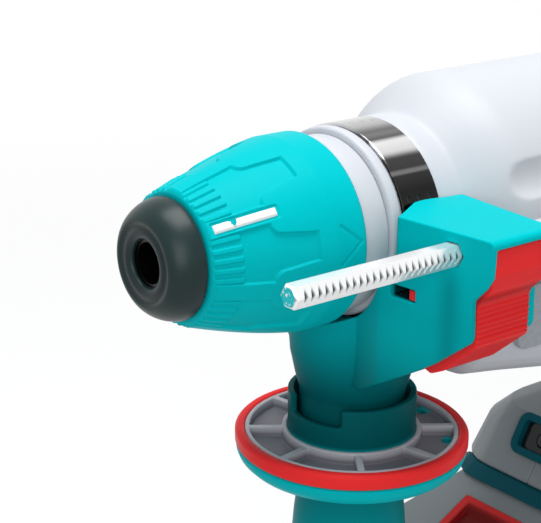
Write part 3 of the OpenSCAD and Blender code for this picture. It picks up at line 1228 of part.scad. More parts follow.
rim_low_z = -flange_drop + 6.2;
rim_top_z = -flange_drop + 11.1;
module rim_cut(from, to, z) rotate([0, 0, from]) rotate_extrude(angle = to - from, $fn = round_fn)
  translate([cup_r - 1, z]) square([collar_wall + 3, 10]);
module side_grip() color(teal) translate([clamp_x, 0, 0]) {
  under_z = -flange_drop - ring_h - 0.05;
  grip_low = under_z - grip_len + 0.05;
  nut_z = stem_low_z - 32;
  difference() {
    rotate_extrude($fn = round_fn) polygon(concat([[0, grip_low], [grip_neck_r + 1.5, grip_low],
      [grip_neck_r + 3, grip_low + 2.5],
      [grip_neck_r + 3, grip_low + 7]],
      [for (i = [0:12]) let(t = i / 12) [grip_neck_r + 0.4 + 1.9 * pow(sin(180 * t), 0.8),
        grip_low + 10 + (grip_len - 25) * t]],
      [[grip_neck_r, under_z - 9], [flange_r - 10.5, under_z - 7.8], [flange_r - 6, under_z - 6.4],
        [flange_r - 2.8, under_z - 4.8], [flange_r - 1, under_z - 3], [flange_r - 0.3, under_z - 1.2],
      [flange_r - 0.3, under_z], [hub_r, under_z], [hub_r, rim_top_z], [0, rim_top_z]]));
    translate([0, 0, stem_low_z - 0.4]) cylinder(h = 30, r = cup_r, $fn = round_fn);
    rim_cut(-20, 39, rim_low_z);
    translate([0, 0, stem_low_z - 45]) cylinder(h = 50, r = bolt_r + 0.5, $fn = 48);
    translate([0, 0, nut_z - 0.1]) cylinder(h = 7.2, r = 7.4, $fn = 6);
  }
}

gear_housing();
nose_ring();
sleeve_guide();
oil_seal();
main_bearing();
lay_front_bearing();
bearing_plate();
lay_rear_bearing();
motor_front_bearing();
motor_rear_bearing();
motor_stator();
body_shell_left();
body_shell_right();
base_shell_left();
base_shell_right();
handle_grip();
side_pads();
base_bumper();
light_bezel();
light_lens();
switch_body();
control_board();
terminal_block();
case_screws();
tool_holder();
dust_cap();
locking_balls();
hammer_cylinder();
cylinder_gear();
sleeve_spring();
locking_sleeve();
lock_ring();
sleeve_mark();
impact_bolt();
striker();
piston();
piston_pin();
wobble_ring();
layshaft();
driven_gear();
motor_rotor();
cooling_fan();
mode_knob();
trigger();
direction_lever();
battery_case();
battery_base();
battery_cells();
release_button();
clamp_band();
clamp_block();
depth_rod();
depth_button();
depth_spring();
clamp_bolt();
guard_flange();
guard_ring();
side_grip();
grip_nut();
base_trim();
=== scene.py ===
import math

import bmesh
import bpy
import numpy as np
from mathutils import Matrix, Vector


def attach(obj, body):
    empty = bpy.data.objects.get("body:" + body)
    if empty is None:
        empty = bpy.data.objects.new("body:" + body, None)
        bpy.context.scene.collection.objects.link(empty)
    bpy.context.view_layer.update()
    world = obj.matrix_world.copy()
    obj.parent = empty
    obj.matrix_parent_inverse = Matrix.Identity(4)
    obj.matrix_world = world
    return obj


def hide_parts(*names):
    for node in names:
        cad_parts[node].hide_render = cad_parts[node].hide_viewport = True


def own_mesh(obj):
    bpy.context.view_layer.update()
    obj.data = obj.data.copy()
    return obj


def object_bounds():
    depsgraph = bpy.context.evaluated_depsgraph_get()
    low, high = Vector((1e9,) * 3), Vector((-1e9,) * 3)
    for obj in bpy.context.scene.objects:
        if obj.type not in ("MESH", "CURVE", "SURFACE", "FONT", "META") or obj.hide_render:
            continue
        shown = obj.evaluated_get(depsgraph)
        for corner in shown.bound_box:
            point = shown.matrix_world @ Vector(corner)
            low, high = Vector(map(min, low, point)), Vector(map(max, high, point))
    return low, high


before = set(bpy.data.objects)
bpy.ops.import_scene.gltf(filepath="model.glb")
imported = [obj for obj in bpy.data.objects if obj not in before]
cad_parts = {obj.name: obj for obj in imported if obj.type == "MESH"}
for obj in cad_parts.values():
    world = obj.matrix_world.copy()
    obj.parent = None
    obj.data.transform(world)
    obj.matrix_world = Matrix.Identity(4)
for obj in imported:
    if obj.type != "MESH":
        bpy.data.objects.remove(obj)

cad_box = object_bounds()

# ---------------------------------------------------------------------------------------------------------
# The view. A long lens looks at the nose from the front left and a little above, so the tool runs off the
# right side of the frame.

view_azimuth = math.radians(142.72)
view_elevation = math.radians(18.354)
right = Vector((math.cos(view_azimuth), math.sin(view_azimuth), 0))
back = Vector((math.sin(view_azimuth) * math.cos(view_elevation),
               -math.cos(view_azimuth) * math.cos(view_elevation), math.sin(view_elevation)))
up = back.cross(right)
camera = bpy.data.objects.new("camera", bpy.data.cameras.new("camera"))
bpy.context.collection.objects.link(camera)
camera_place = (0.1808, 0.2699, 0.1080)
camera_turn = Matrix((right, up, back)).transposed().to_4x4()
camera.matrix_world = Matrix.Translation(camera_place) @ camera_turn
camera.data.sensor_width = 36
camera.data.lens = 99.16
camera.data.shift_x = 0.0656
camera.data.clip_start = 0.01
bpy.context.scene.camera = camera

# ---------------------------------------------------------------------------------------------------------
# The locking sleeve: injection-moulded teal plastic with a soft sheen, which slides on the tool holder. Seven
# raised lands run back from its front and widen into a T, five short grip ribs lie between two lands, and one
# arrow is cut into its rear band.


class Field:
    """A shader socket that takes part in ordinary expressions."""

    def __init__(self, tree, socket):
        self.tree = tree
        self.socket = socket

    def node(self, kind, settings=None, **inputs):
        made = self.tree.nodes.new(kind)
        for key, value in (settings or {}).items():
            if key == "stops":
                ramp = made.color_ramp
                while len(ramp.elements) < len(value):
                    ramp.elements.new(0.5)
                for element, (place, shade) in zip(ramp.elements, value):
                    element.position = place
                    element.color = (*shade, 1) if isinstance(shade, tuple) else (shade, shade, shade, 1)
            else:
                setattr(made, key, value)
        for name, value in inputs.items():
            spot = made.inputs[int(name[1:])] if name[0] == "_" else made.inputs[name.replace("_", " ")]
            if isinstance(value, Field):
                self.tree.links.new(value.socket, spot)
            else:
                spot.default_value = value
        return made

    def get(self, kind, output=0, settings=None, **inputs):
        return Field(self.tree, self.node(kind, settings, **inputs).outputs[output])

    def math(self, operation, other=0.0, first=None):
        return self.get("ShaderNodeMath", settings={"operation": operation},
                        _0=self if first is None else first, _1=self if first is not None else other)

    def __add__(self, other):
        return self.math("ADD", other)

    def __sub__(self, other):
        return self.math("SUBTRACT", other)

    def __mul__(self, other):
        return self.math("MULTIPLY", other)

    def __truediv__(self, other):
        return self.math("DIVIDE", other)

    def __radd__(self, other):
        return self.math("ADD", first=other)

    def __rsub__(self, other):
        return self.math("SUBTRACT", first=other)

    def __rmul__(self, other):
        return self.math("MULTIPLY", first=other)

    def __rtruediv__(self, other):
        return self.math("DIVIDE", first=other)

    def mix(self, low, high):
        made = self.node("ShaderNodeMix", {"data_type": "RGBA"}, _0=self)
        for spot, value in ((6, low), (7, high)):
            if isinstance(value, Field):
                self.tree.links.new(value.socket, made.inputs[spot])
            else:
                made.inputs[spot].default_value = (*value, 1)
        return Field(self.tree, made.outputs[2])

    def clamp(self):
        return self.get("ShaderNodeClamp", _0=self)

    def step(self, low, high):
        return self.get("ShaderNodeMapRange", settings={"interpolation_type": "SMOOTHSTEP"},
                        _0=self, _1=low, _2=high, _3=0.0, _4=1.0)


class Finish:
    """One material: a Principled shader with the object's own coordinates at hand."""

    def __init__(self, name, colour, roughness, metallic=0.0, coat=0.0, specular=0.5):
        self.material = bpy.data.materials.new(name)
        self.material.use_nodes = True
        self.tree = self.material.node_tree
        self.shader = self.tree.nodes["Principled BSDF"]
        self.start = Field(self.tree, None)
        self.shader.inputs["Base Color"].default_value = (*colour, 1)
        self.shader.inputs["Roughness"].default_value = roughness
        self.shader.inputs["Metallic"].default_value = metallic
        self.shader.inputs["Coat Weight"].default_value = coat
        self.shader.inputs["Specular IOR Level"].default_value = specular
        self.colour = colour
        self.roughness = roughness
        self.place = self.start.get("ShaderNodeTexCoord", 3)

    def noise(self, scale, detail=3.0, stretch=None):
        spot = self.place
        if stretch:
            spot = spot.get("ShaderNodeMapping", _0=spot, _3=stretch)
        return spot.get("ShaderNodeTexNoise", _0=spot, Scale=scale, Detail=detail, Roughness=0.5)

    def axes(self):
        """The object's own x, y and z in millimetres."""
        split = self.place.node("ShaderNodeSeparateXYZ", _0=self.place)
        return [Field(self.tree, split.outputs[k]) * 1000 for k in range(3)]

    def tint(self, mask, colour):
        """Lays another colour over the present one where the mask is 1."""
        under = Field(self.tree, self.shader.inputs["Base Color"].links[0].from_socket)
        return self.feed("Base Color", mask.mix(under, colour))

    def feed(self, socket, value):
        self.tree.links.new(value.socket, self.shader.inputs[socket])
        return self

    def vary(self, scale, by, tone=0.06):
        """Cloudy differences of gloss and a little of tone, as handling and moulding leave them."""
        cloud = self.noise(scale, 4.0)
        self.feed("Roughness", (cloud - 0.5) * (2 * by) + self.roughness)
        darker = tuple(c * (1 - tone) for c in self.colour)
        lighter = tuple(min(1.0, c * (1 + tone)) for c in self.colour)
        return self.feed("Base Color", cloud.mix(darker, lighter))

    def grain(self, scale, strength, distance=0.0002, stretch=None):
        """Fine surface grain."""
        return self.bump(self.noise(scale, 2.0, stretch=stretch), strength, distance)

    def bump(self, height, strength, distance):
        relief = height.get("ShaderNodeBump", Strength=strength, Distance=distance, Height=height)
        return self.feed("Normal", relief)


teal = Finish("teal_moulding", (0.0, 0.53, 0.57), 0.42, specular=0.03)
teal.vary(60, 0.05, 0.03).grain(2600, 0.12, 0.0001)


def new_piece(name, points, faces, finish, body, slot, sharp, *replaced):
    """A piece from points in metres; edges steeper than sharp degrees stay crisp, None rounds them all."""
    mesh = bpy.data.meshes.new(name)
    mesh.from_pydata([tuple(p) for p in points], [], faces)
    mesh.validate()
    shell = bmesh.new()
    shell.from_mesh(mesh)
    bmesh.ops.remove_doubles(shell, verts=shell.verts, dist=1e-7)
    bmesh.ops.recalc_face_normals(shell, faces=shell.faces)
    shell.to_mesh(mesh)
    shell.free()
    mesh.polygons.foreach_set("use_smooth", [True] * len(mesh.polygons))
    if sharp:
        mesh.set_sharp_from_angle(angle=math.radians(sharp))
    mesh.materials.append(finish.material)
    piece = bpy.data.objects.new(name, mesh)
    bpy.context.collection.objects.link(piece)
    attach(piece, body)
    if replaced:
        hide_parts(*replaced)
    return piece


def revolved(name, rings, finish, body, slot, *replaced, around):
    """A solid of revolution on the spindle. Each ring is (x, radius), with one radius or one per angle."""
    angles = np.arange(around) * 2 * np.pi / around
    rows = []
    for x, radius in rings:
        radius = np.broadcast_to(np.asarray(radius, float), around)
        rows.append(np.stack([np.full(around, x), radius * np.sin(angles), radius * np.cos(angles)], 1))
    points = np.concatenate(rows) * 0.001
    count = len(rings)
    faces = []
    for i in range(count):
        a, b = i * around, ((i + 1) % count) * around
        faces += [(a + j, a + (j + 1) % around, b + (j + 1) % around, b + j) for j in range(around)]
    return new_piece(name, points, faces, finish, body, slot, None, *replaced)


def smooth(value, low, high):
    """Rises from 0 at low to 1 at high, level at both ends."""
    t = np.clip((value - low) / (high - low), 0, 1)
    return t * t * (3 - 2 * t)


sleeve_front, sleeve_back = -6.5, -45.5
sleeve_length = sleeve_front - sleeve_back
sleeve_nose_r, sleeve_tail_r = 15.9, 24.0
step_x, land_shoulder, rib_end = -31.8, -20.9, -13.6
strip_front, strip_back, strip_half = -8.3, -23.3, 1.05
land_count, land_height, land_turn = 7, 0.8, 54.5
land_step = 360 / land_count
rib_height, rib_turn, rib_half = 0.6, 8, 0.62
arrow_tip, arrow_end, arrow_half, arrow_turn, arrow_depth = -43.7, -37.9, 4.5, 2.6, 0.32
seat_depth, rear_band_rise = 0.45, 0.3


def sleeve_radius(x):
    """The sleeve's plain outline: steep at the nose, nearly level at the rear."""
    share = np.clip((sleeve_front - 0.8 - x) / (sleeve_length - 0.8), 0, 1)
    return sleeve_nose_r + (sleeve_tail_r - sleeve_nose_r) * (1 - (1 - np.minimum(1, share / 0.9)) ** 1.45)


def rounded_box(along, across, low, high, half, corner):
    """Distance to a rounded rectangle, negative inside."""
    dx = np.abs(along - (low + high) / 2) - (high - low) / 2 + corner
    dy = np.abs(across) - half + corner
    outside = np.hypot(np.maximum(dx, 0), np.maximum(dy, 0))
    return outside + np.minimum(np.maximum(dx, dy), 0) - corner


def stroke(along, across, start, end, half):
    """Distance to a straight stroke with round ends, negative inside."""
    step = np.subtract(end, start)
    share = np.clip(((along - start[0]) * step[0] + (across - start[1]) * step[1]) / (step @ step), 0, 1)
    return np.hypot(along - start[0] - share * step[0], across - start[1] - share * step[1]) - half


def sleeve_relief(x, angles):
    """Height above the plain form: lands with their T heads, the ribs between two lands, and the arrow."""
    lift = np.zeros_like(angles)
    stem_half = 2.05 + 0.25 * smooth(-x, 8, 20)
    head_half = 4.6 + 2.4 * smooth(-x, 19, 34)
    for k in range(land_count):
        turn = (np.degrees(angles) - land_turn - land_step * k + 180) % 360 - 180
        across = np.radians(turn) * sleeve_radius(x)
        head = rounded_box(x, across, sleeve_back - 8, land_shoulder, head_half, 2.2)
        land = np.minimum(np.abs(across) - stem_half, head)
        lift = np.maximum(lift, land_height * (1 - smooth(land, -0.2, 0.2)))
        middle = ((turn - land_step / 2 + 180) % 360 - 180)
        for j in range(-2, 3):
            across = np.radians(middle - rib_turn * j) * sleeve_radius(x)
            rib = rounded_box(x, across, rib_end, 0, rib_half, 0.3)
            lift = np.maximum(lift, rib_height * (1 - smooth(rib, -0.25, 0.25)))
    turn = (np.degrees(angles) - land_turn - land_step / 2 - arrow_turn + 180) % 360 - 180
    middle = np.radians(turn) * sleeve_radius(x)
    arrow = np.minimum(*[stroke(x, middle, (arrow_tip, 0.0), (arrow_end, side * arrow_half), 0.18)
                         for side in (-1, 1)])
    lift = np.maximum(lift, land_height * (1 - smooth(x, step_x - 0.25, step_x + 0.25)))
    lift = np.minimum(lift, sleeve_tail_r + rear_band_rise - sleeve_radius(x))
    turn = np.radians((np.degrees(angles) - land_turn + 180) % 360 - 180) * sleeve_radius(x)
    seat = rounded_box(x, turn, strip_back, strip_front, strip_half, 0.1)
    return lift - arrow_depth * (1 - smooth(arrow, 0, 0.3)) - seat_depth * (1 - smooth(seat, 0.42, 0.62))


sleeve_around = 1260
sleeve_angles = np.arange(sleeve_around) * 2 * np.pi / sleeve_around
sleeve_rings = [(sleeve_front, 10.4), (sleeve_front, 15.3), (sleeve_front - 0.1, 15.6),
                (sleeve_front - 0.3, 15.85)]
for x in np.arange(sleeve_front - 0.5, sleeve_back + 0.7, -0.2):
    relief = sleeve_relief(x, sleeve_angles) * smooth(x, sleeve_back, sleeve_back + 0.5)
    sleeve_rings.append((x, sleeve_radius(x) + relief))
sleeve_rings += [(sleeve_back + 0.15, sleeve_tail_r - 0.1), (sleeve_back, sleeve_tail_r - 0.5),
                 (sleeve_back, 22.8), (sleeve_back + 0.2, 22.62), (step_x - 4.3, 22.62), (-31, 15.1),
                 (-13, 15.1), (-13, 10.4)]
revolved("locking_sleeve_shell", sleeve_rings, teal, "sleeve", "teal_plastic", "locking_sleeve",
         around=sleeve_around)

# ---------------------------------------------------------------------------------------------------------
# The index strip on one land: a glossy white plastic inlay that shows how far the sleeve is turned. It is
# pressed into a seat in the sleeve and leaves a small teal arrow open.

white_inlay = Finish("white_inlay", (0.93, 0.93, 0.94), 0.3).vary(80, 0.05, 0.01)
strip_turn = math.radians(land_turn)


def on_sleeve(x, across, height):
    angle = strip_turn + across / sleeve_radius(x)
    radius = sleeve_radius(x) + land_height + height
    return (x, radius * math.sin(angle), radius * math.cos(angle))


strip_points, strip_faces = [], []
strip_steps, strip_rows = 60, 6
strip_face, strip_edge = 0.06, -0.42
notch_x, notch_half = -12.9, 0.9
for i in range(strip_steps + 1):
    for j in range(strip_rows + 1):
        x = strip_front + (strip_back - strip_front) * i / strip_steps
        across = strip_half * (2 * j / strip_rows - 1)
        edge = min(i, strip_steps - i, 1) * min(j, strip_rows - j, 1)
        strip_points.append(on_sleeve(x, across, strip_face if edge else strip_edge))
for i in range(strip_steps):
    for j in range(strip_rows):
        middle_x = strip_front + (strip_back - strip_front) * (i + 0.5) / strip_steps
        off_notch = abs(middle_x - notch_x)
        notched = off_notch < notch_half and j < 5 * (1 - off_notch / notch_half)
        if not notched:
            a = i * (strip_rows + 1) + j
            strip_faces.append((a, a + 1, a + strip_rows + 2, a + strip_rows + 1))
new_piece("index_strip", np.array(strip_points) * 0.001, strip_faces, white_inlay, "sleeve", "white_mark",
          None, "sleeve_mark")

# ---------------------------------------------------------------------------------------------------------
# The dust cap: soft black rubber, moulded in one piece and stretched over the nose of the tool holder, with a
# rolled lip round the hole for the bit.

rubber = Finish("black_rubber", (0.005, 0.021, 0.021), 0.34, specular=0.28)
rubber.vary(90, 0.08, 0.15).grain(1500, 0.08)
x, y, z = rubber.axes()
lip = (y * y + z * z).math("SQRT")
# Painted shade: the groove round the hole, between the rolled lip and the ridge, is painted darker.
rubber.tint(x.step(0.6, 1.4) * lip.step(6.2, 6.9) * lip.step(9.7, 9.0), (0.0, 0.012, 0.014))
# Painted highlight: a lighter line along the cap's rear rim.
rubber.tint(x.step(-5.3, -5.9) * lip.step(13, 14), (0.05, 0.055, 0.058))
cap_profile = [(0.0, 5.65), (0.7, 5.62), (1.3, 5.9), (1.72, 6.5), (1.9, 7.2), (1.86, 7.9), (1.62, 8.5),
               (1.5, 8.9), (1.6, 9.35), (1.86, 9.75), (1.98, 10.2), (1.9, 10.7), (1.6, 11.3), (1.1, 11.95),
               (0.4, 12.6), (-0.5, 13.25), (-1.6, 13.85), (-2.7, 14.3), (-3.8, 14.6), (-4.8, 14.76),
               (-5.5, 14.79), (-5.95, 14.6), (-6.15, 14.3), (-6.2, 13.8), (-6.2, 10.06), (0.0, 10.06)]


def rounded_profile(points):
    """Two rounds of corner cutting on a closed outline."""
    points = np.array(points, float)
    for _ in range(2):
        following = np.roll(points, -1, 0)
        pairs = [0.75 * points + 0.25 * following, 0.25 * points + 0.75 * following]
        points = np.stack(pairs, 1).reshape(-1, 2)
    return [tuple(p) for p in points]


revolved("nose_cap", rounded_profile(cap_profile), rubber, "spindle", "soft_black", "dust_cap", around=180)

# ---------------------------------------------------------------------------------------------------------
# Pale mouldings: the gear housing with its nose rings, and the two body shells behind it. Light grey plastic
# with a fine spark-eroded grain; every edge is eased by the mould.


def eased(node, voxel, rounds, finish, body, keep=0.35):
    """A copy of a solid whose edges are rounded by a voxel skin and a few rounds of smoothing."""
    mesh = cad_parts[node].data.copy()
    piece = bpy.data.objects.new(node + "_moulding", mesh)
    bpy.context.collection.objects.link(piece)
    mesh.materials.clear()
    remesh = piece.modifiers.new("skin", "REMESH")
    remesh.mode = "VOXEL"
    remesh.voxel_size = voxel * 0.001
    soft = piece.modifiers.new("soft", "SMOOTH")
    soft.factor = 0.5
    soft.iterations = rounds
    if keep < 1:
        fewer = piece.modifiers.new("fewer", "DECIMATE")
        fewer.ratio = keep
    made = bpy.data.meshes.new_from_object(piece.evaluated_get(bpy.context.evaluated_depsgraph_get()))
    piece.modifiers.clear()
    piece.data = made
    made.polygons.foreach_set("use_smooth", [True] * len(made.polygons))
    made.materials.clear()
    made.materials.append(finish.material)
    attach(piece, body)
    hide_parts(node)
    return piece


pale = Finish("pale_moulding", (0.61, 0.63, 0.675), 0.45, specular=0.3)
pale.vary(30, 0.04, 0.02).grain(2200, 0.1, 0.0001)
fineness = 1.0
eased("gear_housing", 0.6 * fineness, 6, pale, "machine")
eased("body_shell_left", 0.8 * fineness, 5, pale, "machine")
eased("body_shell_right", 0.8 * fineness, 5, pale, "machine")


def refinish(node, finish):
    """Gives a solid that keeps its own mesh another finish."""
    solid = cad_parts[node]
    if not len(solid.data.materials):
        solid.data.materials.append(finish.material)
    for place in solid.material_slots:
        place.link = "OBJECT"
        place.material = finish.material


def ring_outline(front, rear, inner, outer, ease):
    """The section of a plain ring with its two outer edges eased."""
    return [(front, inner), (front, outer - ease), (front - ease * 0.3, outer - ease * 0.3),
            (front - ease, outer), (rear + ease, outer), (rear + ease * 0.3, outer - ease * 0.3),
            (rear, outer - ease), (rear, inner)]


revolved("nose_ring_moulding", ring_outline(-54.0, -57.3, 20.55, 24.0, 0.7), pale, "machine", "pale_shell",
         "nose_ring", around=200)
revolved("sleeve_guide_moulding", ring_outline(-45.8, -54.0, 20.55, 22.3, 0.4), pale, "machine", "pale_shell",
         "sleeve_guide", around=200)

# ---------------------------------------------------------------------------------------------------------
# The clamp band: a strip of bright rolled steel round the neck, with rows of three small dimples punched
# across it so that it doesn't creep.

chrome = Finish("bright_steel", (0.4, 0.4, 0.4), 0.16, metallic=1.0)
turn = chrome.axes()[1].math("ARCTAN2", chrome.axes()[2]) / (2 * math.pi) + 0.5
# Painted reflection: degrees round the band and the brightness painted into its colour there, as a bright
# strip mirrors dark and light surroundings.
painted_reflection_tones = ((-180, 0.3), (-150, 0.06), (-120, 0.5), (-90, 0.1), (-60, 0.06), (-40, 0.55), (-20, 0.8), (-6, 0.62),
         (9, 0.46), (16, 0.13), (20, 0.2), (24, 0.11), (27, 0.85), (36, 0.7), (40, 0.06), (48.5, 0.05),
         (50, 0.3), (51.5, 0.04), (62, 0.02), (80, 0.03), (110, 0.4), (140, 0.08), (180, 0.3))
stops = [((degrees + 180) / 360, (tone, tone, tone * 1.01)) for degrees, tone in painted_reflection_tones]
cloud = (chrome.noise(60, 4.0, stretch=(0.2, 1, 1)) - 0.5) * 0.012
chrome.feed("Base Color", turn.get("ShaderNodeValToRGB", settings={"stops": stops}, _0=turn + cloud))
chrome.feed("Roughness", chrome.noise(90, 3.0) * 0.08 + 0.13).grain(700, 0.03, stretch=(0.05, 1, 1))
band_x, band_r = -63.55, 24.45
dimple_rows, dimple_pitch, dimple_depth, dimple_size = (-126, -62, 2, 66, 130), 3.4, 0.3, 0.42
band_flat, edge_drop = 5.85, 0.8
band = eased("clamp_band", 0.25 * fineness, 0, chrome, "side_handle", keep=1)
spots = np.empty(len(band.data.vertices) * 3)
band.data.vertices.foreach_get("co", spots)
spots = spots.reshape(-1, 3) * 1000
turns = np.arctan2(spots[:, 1], spots[:, 2])
distance = np.hypot(spots[:, 1], spots[:, 2])
outer = (distance > band_r - 0.22) | (distance > band_r - 0.45) & (np.abs(spots[:, 0] - band_x) < 5.8)
outer &= ~((np.abs(spots[:, 1]) < 6) & (spots[:, 2] < 0))
sunk = np.zeros(len(spots))
for row in dimple_rows:
    across = ((turns - math.radians(row) + np.pi) % (2 * np.pi) - np.pi) * band_r
    for k in (-1, 0, 1):
        from_centre = across ** 2 + (spots[:, 0] - band_x - dimple_pitch * k) ** 2
        sunk += dimple_depth * np.exp(-(from_centre / dimple_size) ** 1.5)
level = band_r - np.clip(np.abs(spots[:, 0] - band_x) - band_flat, 0, 0.2) * edge_drop - sunk
spots[outer, 1] = (np.sin(turns) * level)[outer]
spots[outer, 2] = (np.cos(turns) * level)[outer]
band.data.vertices.foreach_set("co", (spots * 0.001).ravel())

# ---------------------------------------------------------------------------------------------------------
# The clamp block with the side handle's stem: one teal moulding, drawn against the neck by the band and its
# bolt. It carries the depth rod and the red button that locks it.

block_teal = Finish("teal_block", (0.0, 0.52, 0.56), 0.42, specular=0.02)
block_teal.vary(60, 0.05, 0.03).grain(2600, 0.12, 0.0001)
x, y, z = block_teal.axes()
# Painted shadow: the stem is painted much darker towards its foot, where the sleeve and block shade it.
block_teal.tint(z.step(-18, -48) * 0.86, (0.0, 0.02, 0.025))
# Painted shadow: a darker patch on the block just below the depth rod.
block_teal.tint((y - 44.5).math("ABSOLUTE").step(5, 0) * z.step(2, -6) * 0.35, (0.0, 0.12, 0.14))
# Painted shade: the front face grows darker towards the bottom.
block_teal.tint(x.step(-60, -56) * z.step(6, -16) * 0.22, (0.0, 0.12, 0.14))
# Painted shade: the opening round the red indicator tab is painted nearly black, as the shade inside it.
window = x.step(-51.6, -52.6) * y.step(26.2, 26.7) * y.step(34.8, 34.2)
window = window * (z + 9.7).math("ABSOLUTE").step(2.0, 1.5)
block_teal.tint(window, (0.0, 0.012, 0.014))
block = eased("clamp_block", 0.25 * fineness, 2, block_teal, "side_handle", keep=0.5)
cut_x, cut_y, cut_slope = -50.6, 28.6, 0.5
crown_x, crown_half, crown_height = -63.5, 7.5, 0.0008
for vertex in block.data.vertices:
    if vertex.co.z > -0.009 and vertex.co.x > -0.066 and 0 < vertex.co.y < 0.034:
        limit = cut_y + cut_slope * (vertex.co.x * 1000 - cut_x)
        limit -= (1 - smooth(vertex.co.z * 1000, -9, -5)) * 6
        if vertex.co.y * 1000 < limit:
            vertex.co.y = limit * 0.001
    x, y, z = vertex.co * 1000
    crown = crown_height * smooth(z, 4, 8) * (1 - smooth(y, 23.5, 42))
    vertex.co.z += crown * math.exp(-((x - crown_x) / crown_half) ** 2)

red = Finish("red_moulding", (0.97, 0.034, 0.036), 0.36, specular=0.06)
red.vary(70, 0.05, 0.04).grain(2400, 0.08, 0.0001)
button_red = Finish("red_button", (0.97, 0.034, 0.036), 0.36, specular=0.06)
button_red.vary(70, 0.05, 0.04)
x, y, z = button_red.axes()
# Painted shade: a darker band across the button at the step between its top and its grooved middle.
button_red.tint((z + 6.2).math("ABSOLUTE").step(2.2, 0.2) * 0.55, (0.3, 0.012, 0.012))
groove_step, groove_depth = 1.25, 0.0003
# Painted shade: the grooves cut into the button below are also painted darker.
grooved = z.step(-17.8, -17) * z.step(-7.6, -8.4) * y.step(46, 48)
painted_groove_shade = ((z * (2 * math.pi / groove_step)).math("SINE") * 0.5 + 0.5) * grooved
button_red.tint(painted_groove_shade * 0.25, (0.4, 0.01, 0.012))
button_red.grain(2400, 0.08, 0.0001)
button = eased("depth_button", 0.25 * fineness, 3, button_red, "depth_button", keep=1)
for vertex in button.data.vertices:
    x, y, z = vertex.co * 1000
    wave = 0.5 + 0.5 * math.sin(z * 2 * math.pi / groove_step)
    grooves = wave * smooth(z, -17.8, -17) * (1 - smooth(z, -8.4, -7.6))
    vertex.co.y -= groove_depth * grooves * smooth(y, 46.5, 48)
tab = [(x, y, z) for x in (-55.5, -51.7) for y in (32.2, 34.1) for z in (-10.9, -8.5)]
tab_faces = [(0, 1, 3, 2), (4, 6, 7, 5), (0, 4, 5, 1), (2, 3, 7, 6), (0, 2, 6, 4), (1, 5, 7, 3)]
new_piece("indicator_tab", np.array(tab) * 0.001, tab_faces, button_red, "depth_button", "red_plastic", 30)

# ---------------------------------------------------------------------------------------------------------
# The depth rod: a drawn six-sided rod of bright metal that slides through the clamp block, with teeth milled
# along one corner for the lock button to catch.

rod_y, rod_z, rod_half, rod_front, rod_rear = 44.6, 3.4, 2.55, -4.5, -164.5
rod_corner = rod_half / math.cos(math.radians(30))
bright_rod = Finish("bright_rod", (0.93, 0.935, 0.94), 0.2, metallic=0.6)
along, out, high = bright_rod.axes()
out, high = out - rod_y, high - rod_z
# Painted shade: the faces cut by the teeth are painted dark grey.
inward = rod_corner - out - high.math("ABSOLUTE") / math.sqrt(3)
painted_tooth_shade = ((inward - 0.25) * 2.2).clamp() * ((out - 0.9) * 4).clamp()
painted_tooth_shade = painted_tooth_shade * ((2.2 - high.math("ABSOLUTE")) * 3).clamp()
# Painted reflection: the end face is painted teal, as it mirrors the teal block, with painted white glints.
tip = ((along - rod_front + 0.12) * 12).clamp() * ((2.3 - (out * out + high * high).math("SQRT")) * 5).clamp()
painted_glints = ((bright_rod.noise(900, 3.0) - 0.56) * 12).clamp()
metal = painted_tooth_shade.mix((0.93, 0.935, 0.94), (0.2, 0.24, 0.25))
bright_rod.feed("Base Color", tip.mix(metal, painted_glints.mix((0.0, 0.5, 0.54), (0.85, 0.93, 0.94))))
bright_rod.feed("Roughness", bright_rod.noise(120, 3.0) * 0.1 + 0.15)

tooth_step, tooth_depth, tooth_count, first_tooth = 1.92, 1.15, 71, 2.2
rod_corners = 7
tooth_rings = [(rod_front, 0.7), (rod_front - 0.6, 0.02)]
for i in range(tooth_count):
    start = rod_front - first_tooth - tooth_step * i
    tooth_rings += [(start, 0.12), (start - 0.3 * tooth_step, tooth_depth),
                    (start - 0.42 * tooth_step, tooth_depth), (start - 0.6 * tooth_step, 0.12)]
tooth_rings += [(rod_rear + 0.6, 0.02), (rod_rear, 0.7)]
rod_points, rod_faces = [], []
for x, cut in tooth_rings:
    ends = x in (rod_front, rod_rear)
    scale = 0.8 if ends else 1.0
    wide = min(cut * math.sqrt(3), rod_half) if not ends else 0.9
    toothed = rod_corner * scale - (0 if ends else cut) - (0.3 if ends else 0)
    near, far, flat = rod_corner / 2 * scale, rod_corner * scale, rod_half * scale
    outline = [(toothed, wide), (near, flat), (-near, flat), (-far, 0), (-near, -flat), (near, -flat),
               (toothed, -wide)]
    rod_points += [(x, rod_y + a, rod_z + b) for a, b in outline]
for i in range(len(tooth_rings) - 1):
    a, b = rod_corners * i, rod_corners * (i + 1)
    rod_faces += [(a + j, a + (j + 1) % rod_corners, b + (j + 1) % rod_corners, b + j)
                  for j in range(rod_corners)]
rod_faces += [tuple(range(rod_corners)), tuple(range(len(rod_points) - rod_corners, len(rod_points)))]
new_piece("toothed_rod", np.array(rod_points) * 0.001, rod_faces, bright_rod, "depth_rod", "rod_metal", 20,
          "depth_rod")

# ---------------------------------------------------------------------------------------------------------
# The hand guard: a moulded grey wheel with eight spokes and a red rim ring pressed round it. It sits on top
# of the teal plastic grip, which screws onto the clamp bolt.

guard_grey = Finish("guard_grey", (0.5, 0.49, 0.53), 0.42, specular=0.3)
guard_grey.vary(60, 0.05, 0.04).grain(2000, 0.1, 0.0001)
x, y, z = guard_grey.axes()
x = x - band_x
